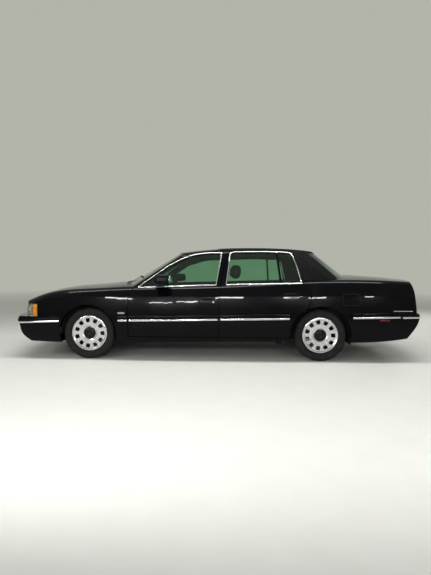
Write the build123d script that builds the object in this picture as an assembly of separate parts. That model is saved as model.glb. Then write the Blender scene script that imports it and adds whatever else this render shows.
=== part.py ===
"""A full-size four-door saloon car, black, with a padded rear half-roof.

Row frame: +Z up, the nose towards -X, the tail towards +X, the driver's side at -Y.
The origin is on the ground, under the middle of the car. All sizes are in millimetres.

The outer surface is two lofts. The lower body is lofted along X through the stations of
BODY_STATIONS and trimmed by plan envelopes that bow the nose and the tail. The house (pillars,
glass and roof) is lofted along X through HOUSE_STATIONS and trimmed by one plan loft that
carries the rake of the windscreen and the rear window. Every panel is cut from these surfaces,
so panels that meet share one skin and one shut gap.
"""
from build123d import *

import os
from math import atan2, cos, hypot, radians, sin, sqrt, tan

# Overall and running gear
LENGTH = 5326.0
WHEELBASE = 2891.0
FRONT_OVERHANG = 1070.0
HALF_TRACK = 773.5
TYRE_RADIUS = 325.0
TYRE_WIDTH = 225.0
RIM_WIDTH = 178.0
FRONT_AXLE_X = -LENGTH / 2 + FRONT_OVERHANG
REAR_AXLE_X = FRONT_AXLE_X + WHEELBASE
AXLE_Z = TYRE_RADIUS

# Panels and gaps
SKIN = 6.0
FRAME_THICKNESS = 36.0
DOOR_INNER_Y = 850.0
SHUT_GAP = 7.5
SEAT_GAP = 0.3
GLASS_THICKNESS = 5.0
SIDE_GLASS_DEPTH = 13.0
SCREEN_DEPTH = 4.0

PAD_THICKNESS = 10.0
SCREEN_THICKNESS = 6.0
BUMPER_SKIN = 12.0

# Shut lines and openings
FRONT_SHUT_X = -1084.0
MIDDLE_SHUT_X = 40.0
PILLAR_LEAN = 0.1845
PILLAR_FOOT_Z = 850.0
PILLAR_HALF_WIDTH = 60.0
DOOR_SILL_Z = 300.0
FRONT_ARCH_RADIUS = 360.0
REAR_ARCH_RADIUS = 362.0
ARCH_RISE = 2.0
BONNET_REAR_X = -1245.0
BONNET_HALF_WIDTH = 730.0
BONNET_BOW = 2600.0
BONNET_LIP_Z = 750.0
COWL_DROP = 12.0
COWL_HALF_WIDTH = 700.0
BOOT_FRONT_X = 1800.0
BOOT_HALF_WIDTH = 700.0
BOOT_LIP_Z = 690.0
ROOF_SPLIT_X = 14.0
LAMP_INNER_Y, LAMP_REAR_X, LAMP_TOP_Z = 440.0, -2236.0, 690.0
LAMP_DEPTH = 56.0
LENS_THICKNESS = 5.0
GRILLE_HALF_WIDTH, GRILLE_TOP_Z, GRILLE_BARS = 400.0, 728.0, 13
TAIL_LAMP_INNER_Y, TAIL_LAMP_TOP_Z = 735.0, 955.0
FRONT_BUMPER_REAR_X = -1946.0
REAR_BUMPER_FRONT_X = 2264.0
FRONT_BUMPER_TOP_Z = 535.0
REAR_BUMPER_TOP_Z = 606.0

# Hinges and steering
BONNET_HINGE_X, BONNET_HINGE_Z = -1131.0, 899.0
BONNET_EAR_Y, BONNET_EAR_WIDTH = 709.5, 9.0
BOOT_HINGE_X, BOOT_HINGE_Z = 1630.0, 1015.0
BOOT_ARM_Y, BOOT_ARM_WIDTH = 560.0, 20.0
BOOT_ARM_RADIUS, BOOT_ARM_DEPTH = 176.0, 18.0
BOOT_ARM_TURN = 78.0
LID_PIN_RADIUS = 5.0
HINGE_SETBACK = 64.0
DOOR_HINGE_Y = 953.0
DOOR_HINGE_HEIGHTS = (430.0, 570.0)
HINGE_PIN_RADIUS = 4.0
HINGE_EYE_RADIUS = 8.0
HINGE_HEIGHT = 50.0
PIN_CLEARANCE = 0.1
KINGPIN_Y = 700.0
KINGPIN_Z = 215.0
KINGPIN_LEAN = 12.0

# Platform
FLOOR_Z = 225.0
FLOOR_THICKNESS = 20.0
FLOOR_HALF_WIDTH = 800.0
BULKHEAD_X = -1125.0
PILLAR_OUTER_Y = 822.0

PILLAR_TOP_Z = 840.0
TUNNEL_HALF_WIDTH, TUNNEL_HEIGHT, TUNNEL_WALL = 105.0, 115.0, 10.0
BULKHEAD_THICKNESS = 10.0
RAIL_INNER_Y, RAIL_OUTER_Y = 425.0, 485.7
REAR_FLOOR_X, REAR_FLOOR_Z, REAR_FLOOR_THICKNESS = 640.0, 345.0, 15.0
REAR_FLOOR_END_X = 2440.0
AXLE_BEAM_HALF, AXLE_ARM_HALF, AXLE_ARM_FOOT_Z, AXLE_ARM_TOP_Z = 45.0, 40.0, 285.0, 320.0
AXLE_CLEARANCE = 5.0
ENGINE_REAR_X = -1360.0
SUBFRAME_FRONT_X, SUBFRAME_TOP_Z = -1935.0, 262.0
EXHAUST_RADIUS, EXHAUST_Y, EXHAUST_Z = 28.0, 330.0, 232.0
LINER_WALL = 4.0
FRONT_LINER_RADIUS, FRONT_LINER_INNER_Y = 392.0, 486.0
REAR_LINER_RADIUS, REAR_LINER_INNER_Y = 374.0, 596.0
LINER_OUTER_Y, LINER_FOOT_Z = 870.0, 300.0
WING_FOOT_Z = 215.0
ARCH_LIP = 6.0
SILL_INNER_Y = 800.0
PANEL_GAP = 0.8

# Wheels
HUB_FACE_Y = 818.0
HUB_RADIUS = 72.0
BARREL_RADIUS = 206.0
FLANGE_RADIUS = 220.5
CAP_RADIUS = 82.0
WHEEL_SLOTS = 11
SLOT_INNER_RADIUS, SLOT_OUTER_RADIUS, SLOT_WIDTH = 136.0, 188.0, 56.0

# Mounts
PLATE_HOLE_SPACING = 177.8
PLATE_HOLE_RADIUS = 3.25
PLATE_HOLE_Z = 648.0
JACK_PAD_X = (-850.0, 780.0)
JACK_PAD_LENGTH = 80.0
JACK_PAD_Y = (-900.0, -860.0)
JACK_PAD_Z = 222.0

# Lower body, one row a station: x, bottom z and y, widest z and y, crease z and y,
# top edge z and y, height on the centre line
BODY_STATIONS = (
    (-2700, 215, 790, 466, 850, 560, 848, 620, 790, 640),
    (-2410, 215, 830, 472, 900, 650, 896, 715, 840, 785),
    (-2150, 211, 865, 477, 930, 750, 922, 818, 862, 870),
    (-1593, 205, 895, 488, 958, 787, 943, 882, 884, 931),
    (-1190, 214, 915, 496, 967, 790, 950, 902, 884, 975),
    (0, 238, 925, 519, 971, 800, 955, 938, 868, 1020),
    (1298, 245, 915, 544, 964, 815, 948, 1003, 862, 1075),
    (2100, 262, 885, 560, 935, 818, 920, 1005, 830, 1060),
    (2400, 300, 862, 566, 908, 812, 894, 992, 808, 1036),
    (2700, 345, 825, 572, 865, 800, 850, 965, 770, 1003),
)
SHOULDER_CUT = 55.0

# House, one row a station: x, half width at the belt datum, height on the centre line
HOUSE_STATIONS = (
    (-1500, 850, 1296),
    (-700, 868, 1340),
    (-350, 872, 1397),
    (0, 873, 1431),
    (500, 873, 1444),
    (1000, 868, 1430),
    (1400, 857, 1380),
    (2000, 830, 1310),
)
HOUSE_DATUM_Z = 880.0
HOUSE_LEAN = 0.2612
HOUSE_CURVE = 0.000363
ROOF_CROWN = 46.0
ROOF_CORNER = 60.0

# Windscreen and rear window on the centre line: x at a height, and x per unit of height
SCREEN_X, SCREEN_Z, SCREEN_SLOPE = -1162.0, 985.0, 1.678
BACKLIGHT_X, BACKLIGHT_Z, BACKLIGHT_SLOPE = 1332.0, 1383.0, -1.312
SCREEN_BOW, SCREEN_CORNER = 1600.0, 90.0
BACKLIGHT_BOW, BACKLIGHT_CORNER = 1250.0, 380.0
HOUSE_LEVELS = (850, 1000, 1150, 1300, 1450)

BIG = 4000.0


def place_xz(y):
    return lambda u, v: Vector(u, y, v)


def place_xy(z):
    return lambda u, v: Vector(u, v, z)


def place_yz(x):
    return lambda u, v: Vector(x, u, v)


def rounded(corners, place):
    """A closed wire through corners (u, v, radius), each corner rounded by its radius."""
    ends = []
    count = len(corners)
    for i, (u, v, r) in enumerate(corners):
        here = Vector(u, v)
        back = (Vector(*corners[i - 1][:2]) - here).normalized()
        ahead = (Vector(*corners[(i + 1) % count][:2]) - here).normalized()
        if not r:
            ends.append((here, None, here))
            continue
        half = radians(back.get_angle(ahead)) / 2
        cut = r / tan(half)
        middle = here + (back + ahead).normalized() * (r / sin(half) - r)
        ends.append((here + back * cut, middle, here + ahead * cut))
    edges = []
    for i, (start, middle, end) in enumerate(ends):
        if middle is not None:
            edges.append(
                Edge.make_three_point_arc(
                    place(start.X, start.Y), place(middle.X, middle.Y), place(end.X, end.Y)
                )
            )
        following = ends[(i + 1) % count][0]
        if (following - end).length > 1e-6:
            edges.append(Edge.make_line(place(end.X, end.Y), place(following.X, following.Y)))
    return Wire(edges)


def grown(corners, by):
    """The corners of an anticlockwise outline moved outwards by a distance."""
    moved = []
    count = len(corners)
    for i, (u, v, r) in enumerate(corners):
        (pu, pv, _), (nu, nv, _) = corners[i - 1], corners[(i + 1) % count]
        a, b = hypot(u - pu, v - pv), hypot(nu - u, nv - v)
        n1 = ((v - pv) / a, -(u - pu) / a)
        n2 = ((nv - v) / b, -(nu - u) / b)
        scale = by / (1 + n1[0] * n2[0] + n1[1] * n2[1])
        radius = max(r + by, 0) if r else 0
        moved.append((u + (n1[0] + n2[0]) * scale, v + (n1[1] + n2[1]) * scale, radius))
    return moved


def prism_y(corners, y0, y1):
    """The outline in the XZ plane, extruded from y0 to y1."""
    return Solid.extrude(Face(rounded(corners, place_xz(y0))), Vector(0, y1 - y0, 0))


def prism_z(corners, z0, z1):
    return Solid.extrude(Face(rounded(corners, place_xy(z0))), Vector(0, 0, z1 - z0))


def prism_x(corners, x0, x1):
    return Solid.extrude(Face(rounded(corners, place_yz(x0))), Vector(x1 - x0, 0, 0))


def block(x0, x1, y0, y1, z0, z1):
    return Pos((x0 + x1) / 2, (y0 + y1) / 2, (z0 + z1) / 2) * Box(x1 - x0, y1 - y0, z1 - z0)


def cylinder_y(x, z, radius, y0, y1):
    return Pos(x, (y0 + y1) / 2, z) * Rot(90, 0, 0) * Cylinder(radius, abs(y1 - y0))


def both_sides(*shapes):
    """Left-hand shapes and their mirror images, for shapes that stay clear of the middle."""
    left = [solid for shape in shapes for solid in shape.solids()]
    return Compound(left + [mirror(solid, about=Plane.XZ) for solid in left])


def joined_sides(shape):
    """A left-hand shape that reaches the middle, fused with its mirror image."""
    return shape + mirror(shape, about=Plane.XZ)


def arc_middle(y0, z0, y1, z1):
    """Middle of the arc between two points that stands upright at the second one."""
    dy, dz = y1 - y0, z1 - z0
    r = (dy * dy + dz * dz) / (2 * dy)
    turn = atan2(z0 - z1, y0 - (y1 - r)) / 2
    return (y1 - r + r * cos(turn), z1 + r * sin(turn))


def softened(side, corner, top):
    """Middle of the arc that rounds a corner between a point before it and one after it."""
    a = (Vector(*side) - Vector(*corner))
    b = (Vector(*top) - Vector(*corner))
    half = radians(a.get_angle(b)) / 2
    r = (a.length + b.length) / 2 * tan(half)
    m = Vector(*corner) + (a.normalized() + b.normalized()).normalized() * (r / sin(half) - r)
    return (m.X, m.Y)


def crown_height(y, edge_y, edge_z, top_z):
    """Height of the crown arc through (edge_y, edge_z) and (0, top_z), at y."""
    h = top_z - edge_z
    r = (edge_y * edge_y + h * h) / (2 * h)
    return top_z - r + sqrt(r * r - y * y)


def closed_section(x, left):
    """The section at x from its left half: points from the bottom up, as (y, z) for a line's end
    and ((y, z), (y, z)) for an arc's middle and end. The last item is the crown's top."""

    def at(p, side):
        return Vector(x, side * p[0], p[1])

    start = left[0]
    halves = {-1: [], 1: []}
    for side in (-1, 1):
        here = start
        for item in left[1:-1]:
            if isinstance(item[0], tuple):
                middle, end = item
                points = [at(p, side) for p in (here, middle, end)]
                halves[side].append(Edge.make_three_point_arc(*points))
            else:
                end = item
                halves[side].append(Edge.make_line(at(here, side), at(end, side)))
            here = end
    foot = Edge.make_line(at(start, 1), at(start, -1))
    crown = Edge.make_three_point_arc(at(here, -1), Vector(x, 0, left[-1][1]), at(here, 1))
    return Wire([foot, *halves[-1], crown, *reversed(halves[1])])


def body_section(station, inset):
    x, zb, yb, zw, yw, zc, yc, ze, ye, zt = station
    zb, yb, yw, yc, ye = zb + inset, yb - inset, yw - inset, yc - inset, ye - inset
    ze, zt = ze - inset, zt - inset
    lower, upper = arc_middle(yb, zb, yw, zw), arc_middle(yc, zc, yw, zw)
    slant = Vector(yc - ye, zc - ze).normalized() * SHOULDER_CUT
    side = (ye + slant.X, ze + slant.Y)
    top_y = ye - SHOULDER_CUT
    top = (top_y, crown_height(top_y, ye, ze, zt))
    bend = softened(side, (ye, ze), top)
    flank = [(yb, zb), (lower, (yw, zw)), (upper, (yc, zc)), side]
    return closed_section(x, [*flank, (bend, top), (0, zt)])


def house_y(z, belt_y):
    rise = z - HOUSE_DATUM_Z
    return belt_y - HOUSE_LEAN * rise - HOUSE_CURVE * rise * rise


def house_section(station, inset):
    x, belt_y, zt = station
    zt -= inset
    foot = HOUSE_LEVELS[0] - 20
    corner_z = zt - ROOF_CROWN
    end_z = corner_z - ROOF_CORNER * 0.85
    points = [(house_y(z, belt_y) - inset, z) for z in (foot, (foot + end_z) / 2, end_z)]
    corner = (house_y(corner_z, belt_y) - inset, corner_z)
    top_y = corner[0] - ROOF_CORNER
    top = (top_y, crown_height(top_y, corner[0], corner_z, zt))
    bend = softened(points[2], corner, top)
    return closed_section(x, [points[0], (points[1], points[2]), (bend, top), (0, zt)])


def plan_outline(z, front, rear, side_y):
    """A closed plan outline at height z.

    front and rear are (x on the centre line, bow radius, corner radius).
    """
    turns = []
    for x, bow, corner, sign in ((*front, 1), (*rear, -1)):
        reach = sqrt((bow - corner) ** 2 - (side_y - corner) ** 2)
        centre = Vector(x + sign * (bow - reach), side_y - corner)
        bow_centre = Vector(x + sign * bow, 0)
        away = (centre - bow_centre).normalized()
        on_bow = bow_centre + away * bow
        on_side = Vector(centre.X, side_y)
        halfway = centre + (away + Vector(0, 1)).normalized() * corner
        turns.append((x, on_bow, halfway, on_side))
    (fx, fb, fm, fs), (rx, rb, rm, rs) = turns

    def p(v, side=1):
        return Vector(v.X, side * v.Y, z)

    arc, line = Edge.make_three_point_arc, Edge.make_line
    return Wire(
        [
            arc(p(fb, -1), Vector(fx, 0, z), p(fb)),
            arc(p(fb), p(fm), p(fs)),
            line(p(fs), p(rs)),
            arc(p(rs), p(rm), p(rb)),
            arc(p(rb), Vector(rx, 0, z), p(rb, -1)),
            arc(p(rb, -1), p(rm, -1), p(rs, -1)),
            line(p(rs, -1), p(fs, -1)),
            arc(p(fs, -1), p(fm, -1), p(fb, -1)),
        ]
    )


# Plan of the bowed ends: height, x of the nose and of the tail on the centre line
PLAN_LEVELS = (
    (190, -2548, 2640),
    (560, -2545, 2636),
    (700, -2533, 2622),
    (850, -2430, 2597),
    (1000, -2250, 2533),
    (1200, -1950, 2330),
)
NOSE_BOW, NOSE_CORNER = 2600.0, 280.0
TAIL_BOW, TAIL_CORNER = 2600.0, 220.0
PLAN_SIDE_Y = 985.0

# Plan of the bumpers, as above
BUMPER_LEVELS = (
    (190, -2440, 2400),
    (240, -2528, 2452),
    (300, -2598, 2520),
    (350, -2628, 2560),
    (430, -2649, 2618),
    (500, -LENGTH / 2, 2653),
    (560, -2590, LENGTH / 2),
    (620, -2470, 2650),
)


def hull(inset=0.0):
    """The lower body before the nose and tail are bowed, moved inwards by inset."""
    return Solid.make_loft([body_section(s, inset) for s in BODY_STATIONS])


def plan_envelope(levels, inset=0.0):
    """Upright loft of plan outlines, moved inwards by inset."""
    return Solid.make_loft(
        [
            plan_outline(
                z,
                (nose + inset, NOSE_BOW, NOSE_CORNER),
                (tail - inset, TAIL_BOW, TAIL_CORNER),
                PLAN_SIDE_Y - inset,
            )
            for z, nose, tail in levels
        ]
    )


def lower_body(inset=0.0):
    """Everything below the glass, moved inwards by inset."""
    return hull(inset) & plan_envelope(PLAN_LEVELS, inset)


def house(inset=0.0):
    """Glass, pillars and roof, moved inwards by inset."""
    hull = Solid.make_loft([house_section(s, inset) for s in HOUSE_STATIONS])
    outlines = []
    for z in HOUSE_LEVELS:
        front = SCREEN_X + (z - SCREEN_Z) * SCREEN_SLOPE + inset * hypot(1, SCREEN_SLOPE)
        rear = BACKLIGHT_X + (z - BACKLIGHT_Z) * BACKLIGHT_SLOPE - inset * hypot(1, BACKLIGHT_SLOPE)
        side_y = house_y(z, 873) + 3 - inset
        front_end = (front, SCREEN_BOW, SCREEN_CORNER)
        rear_end = (rear, BACKLIGHT_BOW, BACKLIGHT_CORNER)
        outlines.append(plan_outline(z, front_end, rear_end, side_y))
    return hull & Solid.make_loft(outlines)


# Side view of the greenhouse: the A-pillar, the roof rail and the rear corner, as x, z
A_LINE = ((-1010, 905), (-799, 1052), (-598, 1206), (-344, 1325))
RAIL_LINE = ((-150, 1362), (240, 1376), (558, 1386), (900, 1380))
C_LINE = ((1075, 978), (1038, 1165), (985, 1300))
FRAME_WIDTH = 26.0
BELT_Z, BELT_SLOPE = 948.0, 0.031
DIVISION_X, DIVISION_WIDTH = 786.0, 26.0


def belt_z(x):
    """Lower edge of the side glass."""
    return BELT_Z + BELT_SLOPE * x


def pillar_x(z):
    """The shut line between the doors, which leans back above the belt."""
    return MIDDLE_SHUT_X + (z - PILLAR_FOOT_Z) * PILLAR_LEAN


def front_door_outline(by=0.0):
    g = SHUT_GAP / 2
    top = RAIL_LINE[0][1] + 10
    return grown(
        (
            (FRONT_SHUT_X + g, DOOR_SILL_Z, 20),
            (MIDDLE_SHUT_X - g, DOOR_SILL_Z, 20),
            (MIDDLE_SHUT_X - g, PILLAR_FOOT_Z, 0),
            (pillar_x(top) - g, top, 0),
            (*RAIL_LINE[0], 0),
            (*A_LINE[3], 60),
            (*A_LINE[2], 0),
            (*A_LINE[0], 0),
            (FRONT_SHUT_X + g, A_LINE[0][1] - 60, 40),
        ),
        by,
    )


def rear_door_outline(by=0.0):
    g = SHUT_GAP / 2
    top = RAIL_LINE[1][1] - 2
    return grown(
        (
            (MIDDLE_SHUT_X + g, DOOR_SILL_Z, 20),
            (1125, DOOR_SILL_Z, 0),
            (1125, 640, 0),
            (1165, 790, 200),
            (1140, 915, 100),
            (*C_LINE[0], 0),
            (*C_LINE[2], 0),
            (965, RAIL_LINE[3][1] - 4, 40),
            (*RAIL_LINE[2], 0),
            (*RAIL_LINE[1], 0),
            (pillar_x(top) + g, top, 0),
            (MIDDLE_SHUT_X + g, PILLAR_FOOT_Z, 0),
        ),
        by,
    )


def front_window_outline(by=0.0):
    w = FRAME_WIDTH
    rear = [pillar_x(z) - PILLAR_HALF_WIDTH for z in (belt_z(0), RAIL_LINE[0][1] - w)]
    return grown(
        (
            (A_LINE[0][0] + 2.6 * w, belt_z(-960), 12),
            (rear[0], belt_z(0), 12),
            (rear[1], RAIL_LINE[0][1] + 6 - w, 20),
            (RAIL_LINE[0][0], RAIL_LINE[0][1] - w, 0),
            (A_LINE[3][0] + 0.3 * w, A_LINE[3][1] - w, 60),
            (A_LINE[2][0] + 0.8 * w, A_LINE[2][1] - w * 0.9, 0),
        ),
        by,
    )


def rear_window_outline(by=0.0):
    w = FRAME_WIDTH
    front = [pillar_x(z) + PILLAR_HALF_WIDTH for z in (belt_z(120), RAIL_LINE[1][1] - w)]
    return grown(
        (
            (front[0], belt_z(120), 12),
            (C_LINE[0][0] - w, belt_z(1050), 12),
            (C_LINE[1][0] - w, C_LINE[1][1], 0),
            (C_LINE[2][0] - w, C_LINE[2][1], 60),
            (940, RAIL_LINE[3][1] - w - 4, 40),
            (RAIL_LINE[2][0], RAIL_LINE[2][1] - w, 0),
            (front[1], RAIL_LINE[1][1] - w, 20),
        ),
        by,
    )


def windscreen_outline(by=0.0):
    low, high, side = 860, 1352, 70
    w0, w1 = (house_y(z, 873) - side for z in (low, high))
    return grown(((-w0, low, 0), (w0, low, 0), (w1, high, 60), (-w1, high, 60)), by)


def backlight_outline(by=0.0):
    low, high, side = 940, 1358, 62
    w0, w1 = (house_y(z, 860) - side for z in (low, high))
    return grown(((-w0, low, 0), (w0, low, 0), (w1, high, 70), (-w1, high, 70)), by)


def bonnet_strip(x_front, x_rear):
    """Bowed strip of plan between two x values on the centre line, along the bonnet's rear edge."""
    outer = Pos(x_front + BONNET_BOW, 0, 700) * Cylinder(BONNET_BOW, 1600)
    inner = Pos(x_rear + BONNET_BOW, 0, 700) * Cylinder(BONNET_BOW, 1600)
    return (outer - inner) & block(-BIG, 0, -BIG, BIG, 0, BIG)


def along(start, direction, length, radius):
    """A cylinder from a point, along a direction."""
    plane = Plane(origin=start, z_dir=direction)
    return plane * Pos(0, 0, length / 2) * Cylinder(radius, length)


G = SHUT_GAP / 2
BODY = lower_body()
SHELL = BODY - lower_body(SKIN)
HOUSE = house()
UNDER_PAD = house(PAD_THICKNESS)
CABIN = house(FRAME_THICKNESS)
BUMPER_OUTER = hull() & plan_envelope(BUMPER_LEVELS)
BUMPER_INNER = hull(BUMPER_SKIN) & plan_envelope(BUMPER_LEVELS, BUMPER_SKIN)

LEFT_DOOR_CUTS = [
    prism_y(outline(SHUT_GAP), -BIG, -400) for outline in (front_door_outline, rear_door_outline)
]
SCREEN_CUTS = [prism_x(windscreen_outline(), -BIG, 0), prism_x(backlight_outline(), 500, BIG)]
HOUSE_CUTS = [
    *LEFT_DOOR_CUTS, *(mirror(cut, about=Plane.XZ) for cut in LEFT_DOOR_CUTS), *SCREEN_CUTS
]
DECK_ZONE = block(1240, BOOT_FRONT_X - G, -BOOT_HALF_WIDTH, BOOT_HALF_WIDTH, 0, BIG)


def arch(x, radius, y0, y1):
    return cylinder_y(x, AXLE_Z + ARCH_RISE, radius, y0, y1)


def turning_room():
    """Space of the left front wheel inboard of the skin, where its tyre swings as it steers."""
    return arch(FRONT_AXLE_X, FRONT_LINER_RADIUS, -LINER_OUTER_Y, -FRONT_LINER_INNER_Y)


def arch_lip(x, radius):
    """Return flange round a wheel opening, in from the skin to the liner."""
    ring = arch(x, radius + ARCH_LIP, -BIG, -LINER_OUTER_Y - SEAT_GAP) - arch(x, radius, -BIG, 0)
    return ring & BODY & block(-BIG, BIG, -BIG, 0, LINER_FOOT_Z, BIG)


def bonnet_ear():
    """Left hinge ear of the bonnet, with its pin."""
    x, z, y = BONNET_HINGE_X, BONNET_HINGE_Z, -BONNET_EAR_Y
    outline = (
        (x - 90, z + 40, 0),
        (x - 72, z + 6, 8),
        (x - 24, z - 8, 8),
        (x + 9, z - 8, 7),
        (x + 9, z + 8, 7),
        (x - 24, z + 40, 0),
    )
    ear = prism_y(outline, y - BONNET_EAR_WIDTH, y) & BODY
    ear -= block(x - 24, BIG, -BIG, 0, z + 8, BIG)
    return ear + cylinder_y(x, z, LID_PIN_RADIUS, y - BONNET_EAR_WIDTH, y + 10)


def bonnet():
    zone = block(-BIG, 0, -BONNET_HALF_WIDTH + G, BONNET_HALF_WIDTH - G, BONNET_LIP_Z + G, BIG)
    zone -= bonnet_strip(BONNET_REAR_X - G, 0)
    ear = bonnet_ear()
    return (SHELL & zone) + [ear, mirror(ear, about=Plane.XZ)]


def boot_arm():
    """Left gooseneck of the boot lid: a leg down from the pin and an arc round the panel's edge."""
    x, z, y = BOOT_HINGE_X, BOOT_HINGE_Z, -BOOT_ARM_Y
    y0, y1 = y - BOOT_ARM_WIDTH / 2, y + BOOT_ARM_WIDTH / 2
    inner, outer = BOOT_ARM_RADIUS, BOOT_ARM_RADIUS + BOOT_ARM_DEPTH
    ring = cylinder_y(x, z, outer, y0, y1) - cylinder_y(x, z, inner, y0 - 1, y1 + 1)
    turn = radians(BOOT_ARM_TURN)
    reach = 2 * outer
    wedge = prism_y(
        (
            (x, z, 0),
            (x + reach * cos(turn), z - reach * sin(turn), 0),
            (x + reach, z - reach * 0.2, 0),
            (x + reach, z + reach * 0.24, 0),
        ),
        y0 - 1,
        y1 + 1,
    )
    leg = Pos(outer / 2 - 2, 0, 0) * Box(outer - 4, BOOT_ARM_WIDTH, 16)
    leg = Pos(x, y, z) * Rot(0, BOOT_ARM_TURN, 0) * leg
    pin = cylinder_y(x, z, LID_PIN_RADIUS, y0 - 14, y1)
    return ((ring & wedge) & BODY) + [leg, cylinder_y(x, z, 9, y0, y1), pin]


def boot_lid():
    half = BOOT_HALF_WIDTH - G
    lid = SHELL & block(BOOT_FRONT_X + G, BIG, -half, half, BOOT_LIP_Z + G, BIG)
    arm = boot_arm()
    return lid + [arm, mirror(arm, about=Plane.XZ)]


def front_wings():
    wing = SHELL & block(-BIG, -900, -BIG, -BONNET_HALF_WIDTH - G, WING_FOOT_Z, BIG)
    bumper_zone = block(
        -BIG, FRONT_BUMPER_REAR_X + PANEL_GAP, -BIG, 0, 0, FRONT_BUMPER_TOP_Z + PANEL_GAP
    )
    wing -= [
        bumper_zone,
        block(-BIG, FRONT_AXLE_X, -BIG, 0, 0, LINER_FOOT_Z),
        block(-BIG, LAMP_REAR_X + PANEL_GAP, -BIG, 0, 0, LAMP_TOP_Z + PANEL_GAP),
        block(FRONT_SHUT_X - G, 0, -BIG, 0, 0, 800),
        arch(FRONT_AXLE_X, FRONT_ARCH_RADIUS + 1, -BIG, 0),
        turning_room(),
        LEFT_DOOR_CUTS[0],
        CABIN,
    ]
    return both_sides(wing + (arch_lip(FRONT_AXLE_X, FRONT_ARCH_RADIUS) - bumper_zone))


def lamp_zone(by):
    """Box of a headlamp, moved inwards by a distance on every side."""
    foot = FRONT_BUMPER_TOP_Z + PANEL_GAP + by
    return block(-BIG, LAMP_REAR_X - by, -BIG, -LAMP_INNER_Y - by, foot, LAMP_TOP_Z - by)


def headlamp_lenses():
    t = LENS_THICKNESS
    return both_sides((BODY & lamp_zone(0)) - Pos(t, t, 0) * BODY)


def headlamps():
    front, floor, wall = LENS_THICKNESS + SEAT_GAP, LAMP_DEPTH, 4
    tray = (Pos(front, front, 0) * BODY & lamp_zone(0)) - Pos(floor + wall, floor + wall, 0) * BODY
    return both_sides(tray - (lamp_zone(wall) - Pos(floor, floor, 0) * BODY))


def grille_outline(by=0.0):
    w, low, high = GRILLE_HALF_WIDTH, FRONT_BUMPER_TOP_Z + 40, GRILLE_TOP_Z
    return grown(((-w, low, 14), (w, low, 14), (w - 12, high, 14), (-w + 12, high, 14)), by)


def nose_panel():
    half = BONNET_HALF_WIDTH - PANEL_GAP
    panel = SHELL & block(-BIG, -2330, -half, half, FRONT_BUMPER_TOP_Z + PANEL_GAP, BONNET_LIP_Z - G)
    lamp = block(-BIG, 0, -BIG, -LAMP_INNER_Y + PANEL_GAP, 0, LAMP_TOP_Z + PANEL_GAP)
    window = prism_x(grille_outline(PANEL_GAP), -BIG, -2200)
    return panel - [lamp, mirror(lamp, about=Plane.XZ), window]


def grille():
    depth, bar, rim = 26, 7, 14
    back = -2200
    face = (BODY - Pos(depth, 0, 0) * BODY) & prism_x(grille_outline(), -BIG, back)
    holes = []
    left, right = -GRILLE_HALF_WIDTH + rim, GRILLE_HALF_WIDTH - rim
    pitch = (right - left - 12) / (GRILLE_BARS + 1)
    low, high = FRONT_BUMPER_TOP_Z + 40 + rim, GRILLE_TOP_Z - rim
    for i in range(GRILLE_BARS + 1):
        y = left + 6 + pitch * i
        holes.append(block(-BIG, back, y + bar / 2, y + pitch - bar / 2, low, high))
    return face - holes


def bumper(zone, top, roofed):
    """Bumper cover inside a zone, with a top ledge over the roofed stretch."""
    zone &= block(-BIG, BIG, -BIG, BIG, 0, top)
    inner = (BUMPER_INNER & zone) - (roofed & block(-BIG, BIG, -BIG, BIG, top - BUMPER_SKIN, BIG))
    return (BUMPER_OUTER & zone) - inner


def front_bumper():
    zone = block(-BIG, FRONT_BUMPER_REAR_X, -BIG, BIG, 0, BIG)
    cover = bumper(zone, FRONT_BUMPER_TOP_Z, block(-BIG, -2360, -BIG, BIG, 0, BIG))
    arch_cut = arch(FRONT_AXLE_X, FRONT_ARCH_RADIUS + PANEL_GAP, -BIG, -LINER_OUTER_Y)
    intake = prism_x(((-460, 300, 20), (460, 300, 20), (430, 372, 20), (-430, 372, 20)), -BIG, -2200)
    room = turning_room()
    return cover - [
        arch_cut,
        mirror(arch_cut, about=Plane.XZ),
        room,
        mirror(room, about=Plane.XZ),
        intake,
    ]


def rear_bumper():
    zone = block(REAR_BUMPER_FRONT_X, BIG, -BIG, BIG, 0, BIG)
    cover = bumper(zone, REAR_BUMPER_TOP_Z, block(2500, BIG, -BIG, BIG, 0, BIG))
    return cover - block(0, REAR_FLOOR_END_X - 40, -620, 620, 0, 360)


def tail_lamp_zone(by=0.0):
    return block(
        2480 - by, BIG, -BIG, -TAIL_LAMP_INNER_Y + by, REAR_BUMPER_TOP_Z + 40 - by, TAIL_LAMP_TOP_Z + by
    )


def tail_lamps():
    return both_sides((BODY & tail_lamp_zone()) - Pos(-30, 30, 0) * BODY)


def tail_panel():
    half = TAIL_LAMP_INNER_Y - PANEL_GAP
    panel = SHELL & block(2400, BIG, -half, half, REAR_BUMPER_TOP_Z + PANEL_GAP, BOOT_LIP_Z - G)
    bore = Rot(0, 90, 0) * Cylinder(PLATE_HOLE_RADIUS, 200)
    return panel - [
        Pos(2600, side * PLATE_HOLE_SPACING / 2, PLATE_HOLE_Z) * bore for side in (-1, 1)
    ]


def hinge_lug(x, z, y0, y1, top):
    """Fixed lug with the bore of a lid's hinge pin."""
    lug = block(x - 10, x + 10, y0, y1, z, top) + cylinder_y(x, z, 10, y0, y1)
    return lug - cylinder_y(x, z, LID_PIN_RADIUS + PIN_CLEARANCE, y0 - 1, y1 + 1)


def rear_deck_panel():
    """Panel between the rear window and the boot lid, which runs on as the parcel shelf."""
    shelf = SHELL & block(1240, BOOT_FRONT_X - G, -BIG, BIG, 900, BIG)
    shelf &= DECK_ZONE + CABIN
    y = -BOOT_ARM_Y - BOOT_ARM_WIDTH / 2 - 0.5
    lug = hinge_lug(BOOT_HINGE_X, BOOT_HINGE_Z, y - 12, y, BOOT_HINGE_Z + 60) & BODY
    return shelf + [lug, mirror(lug, about=Plane.XZ)]


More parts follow.
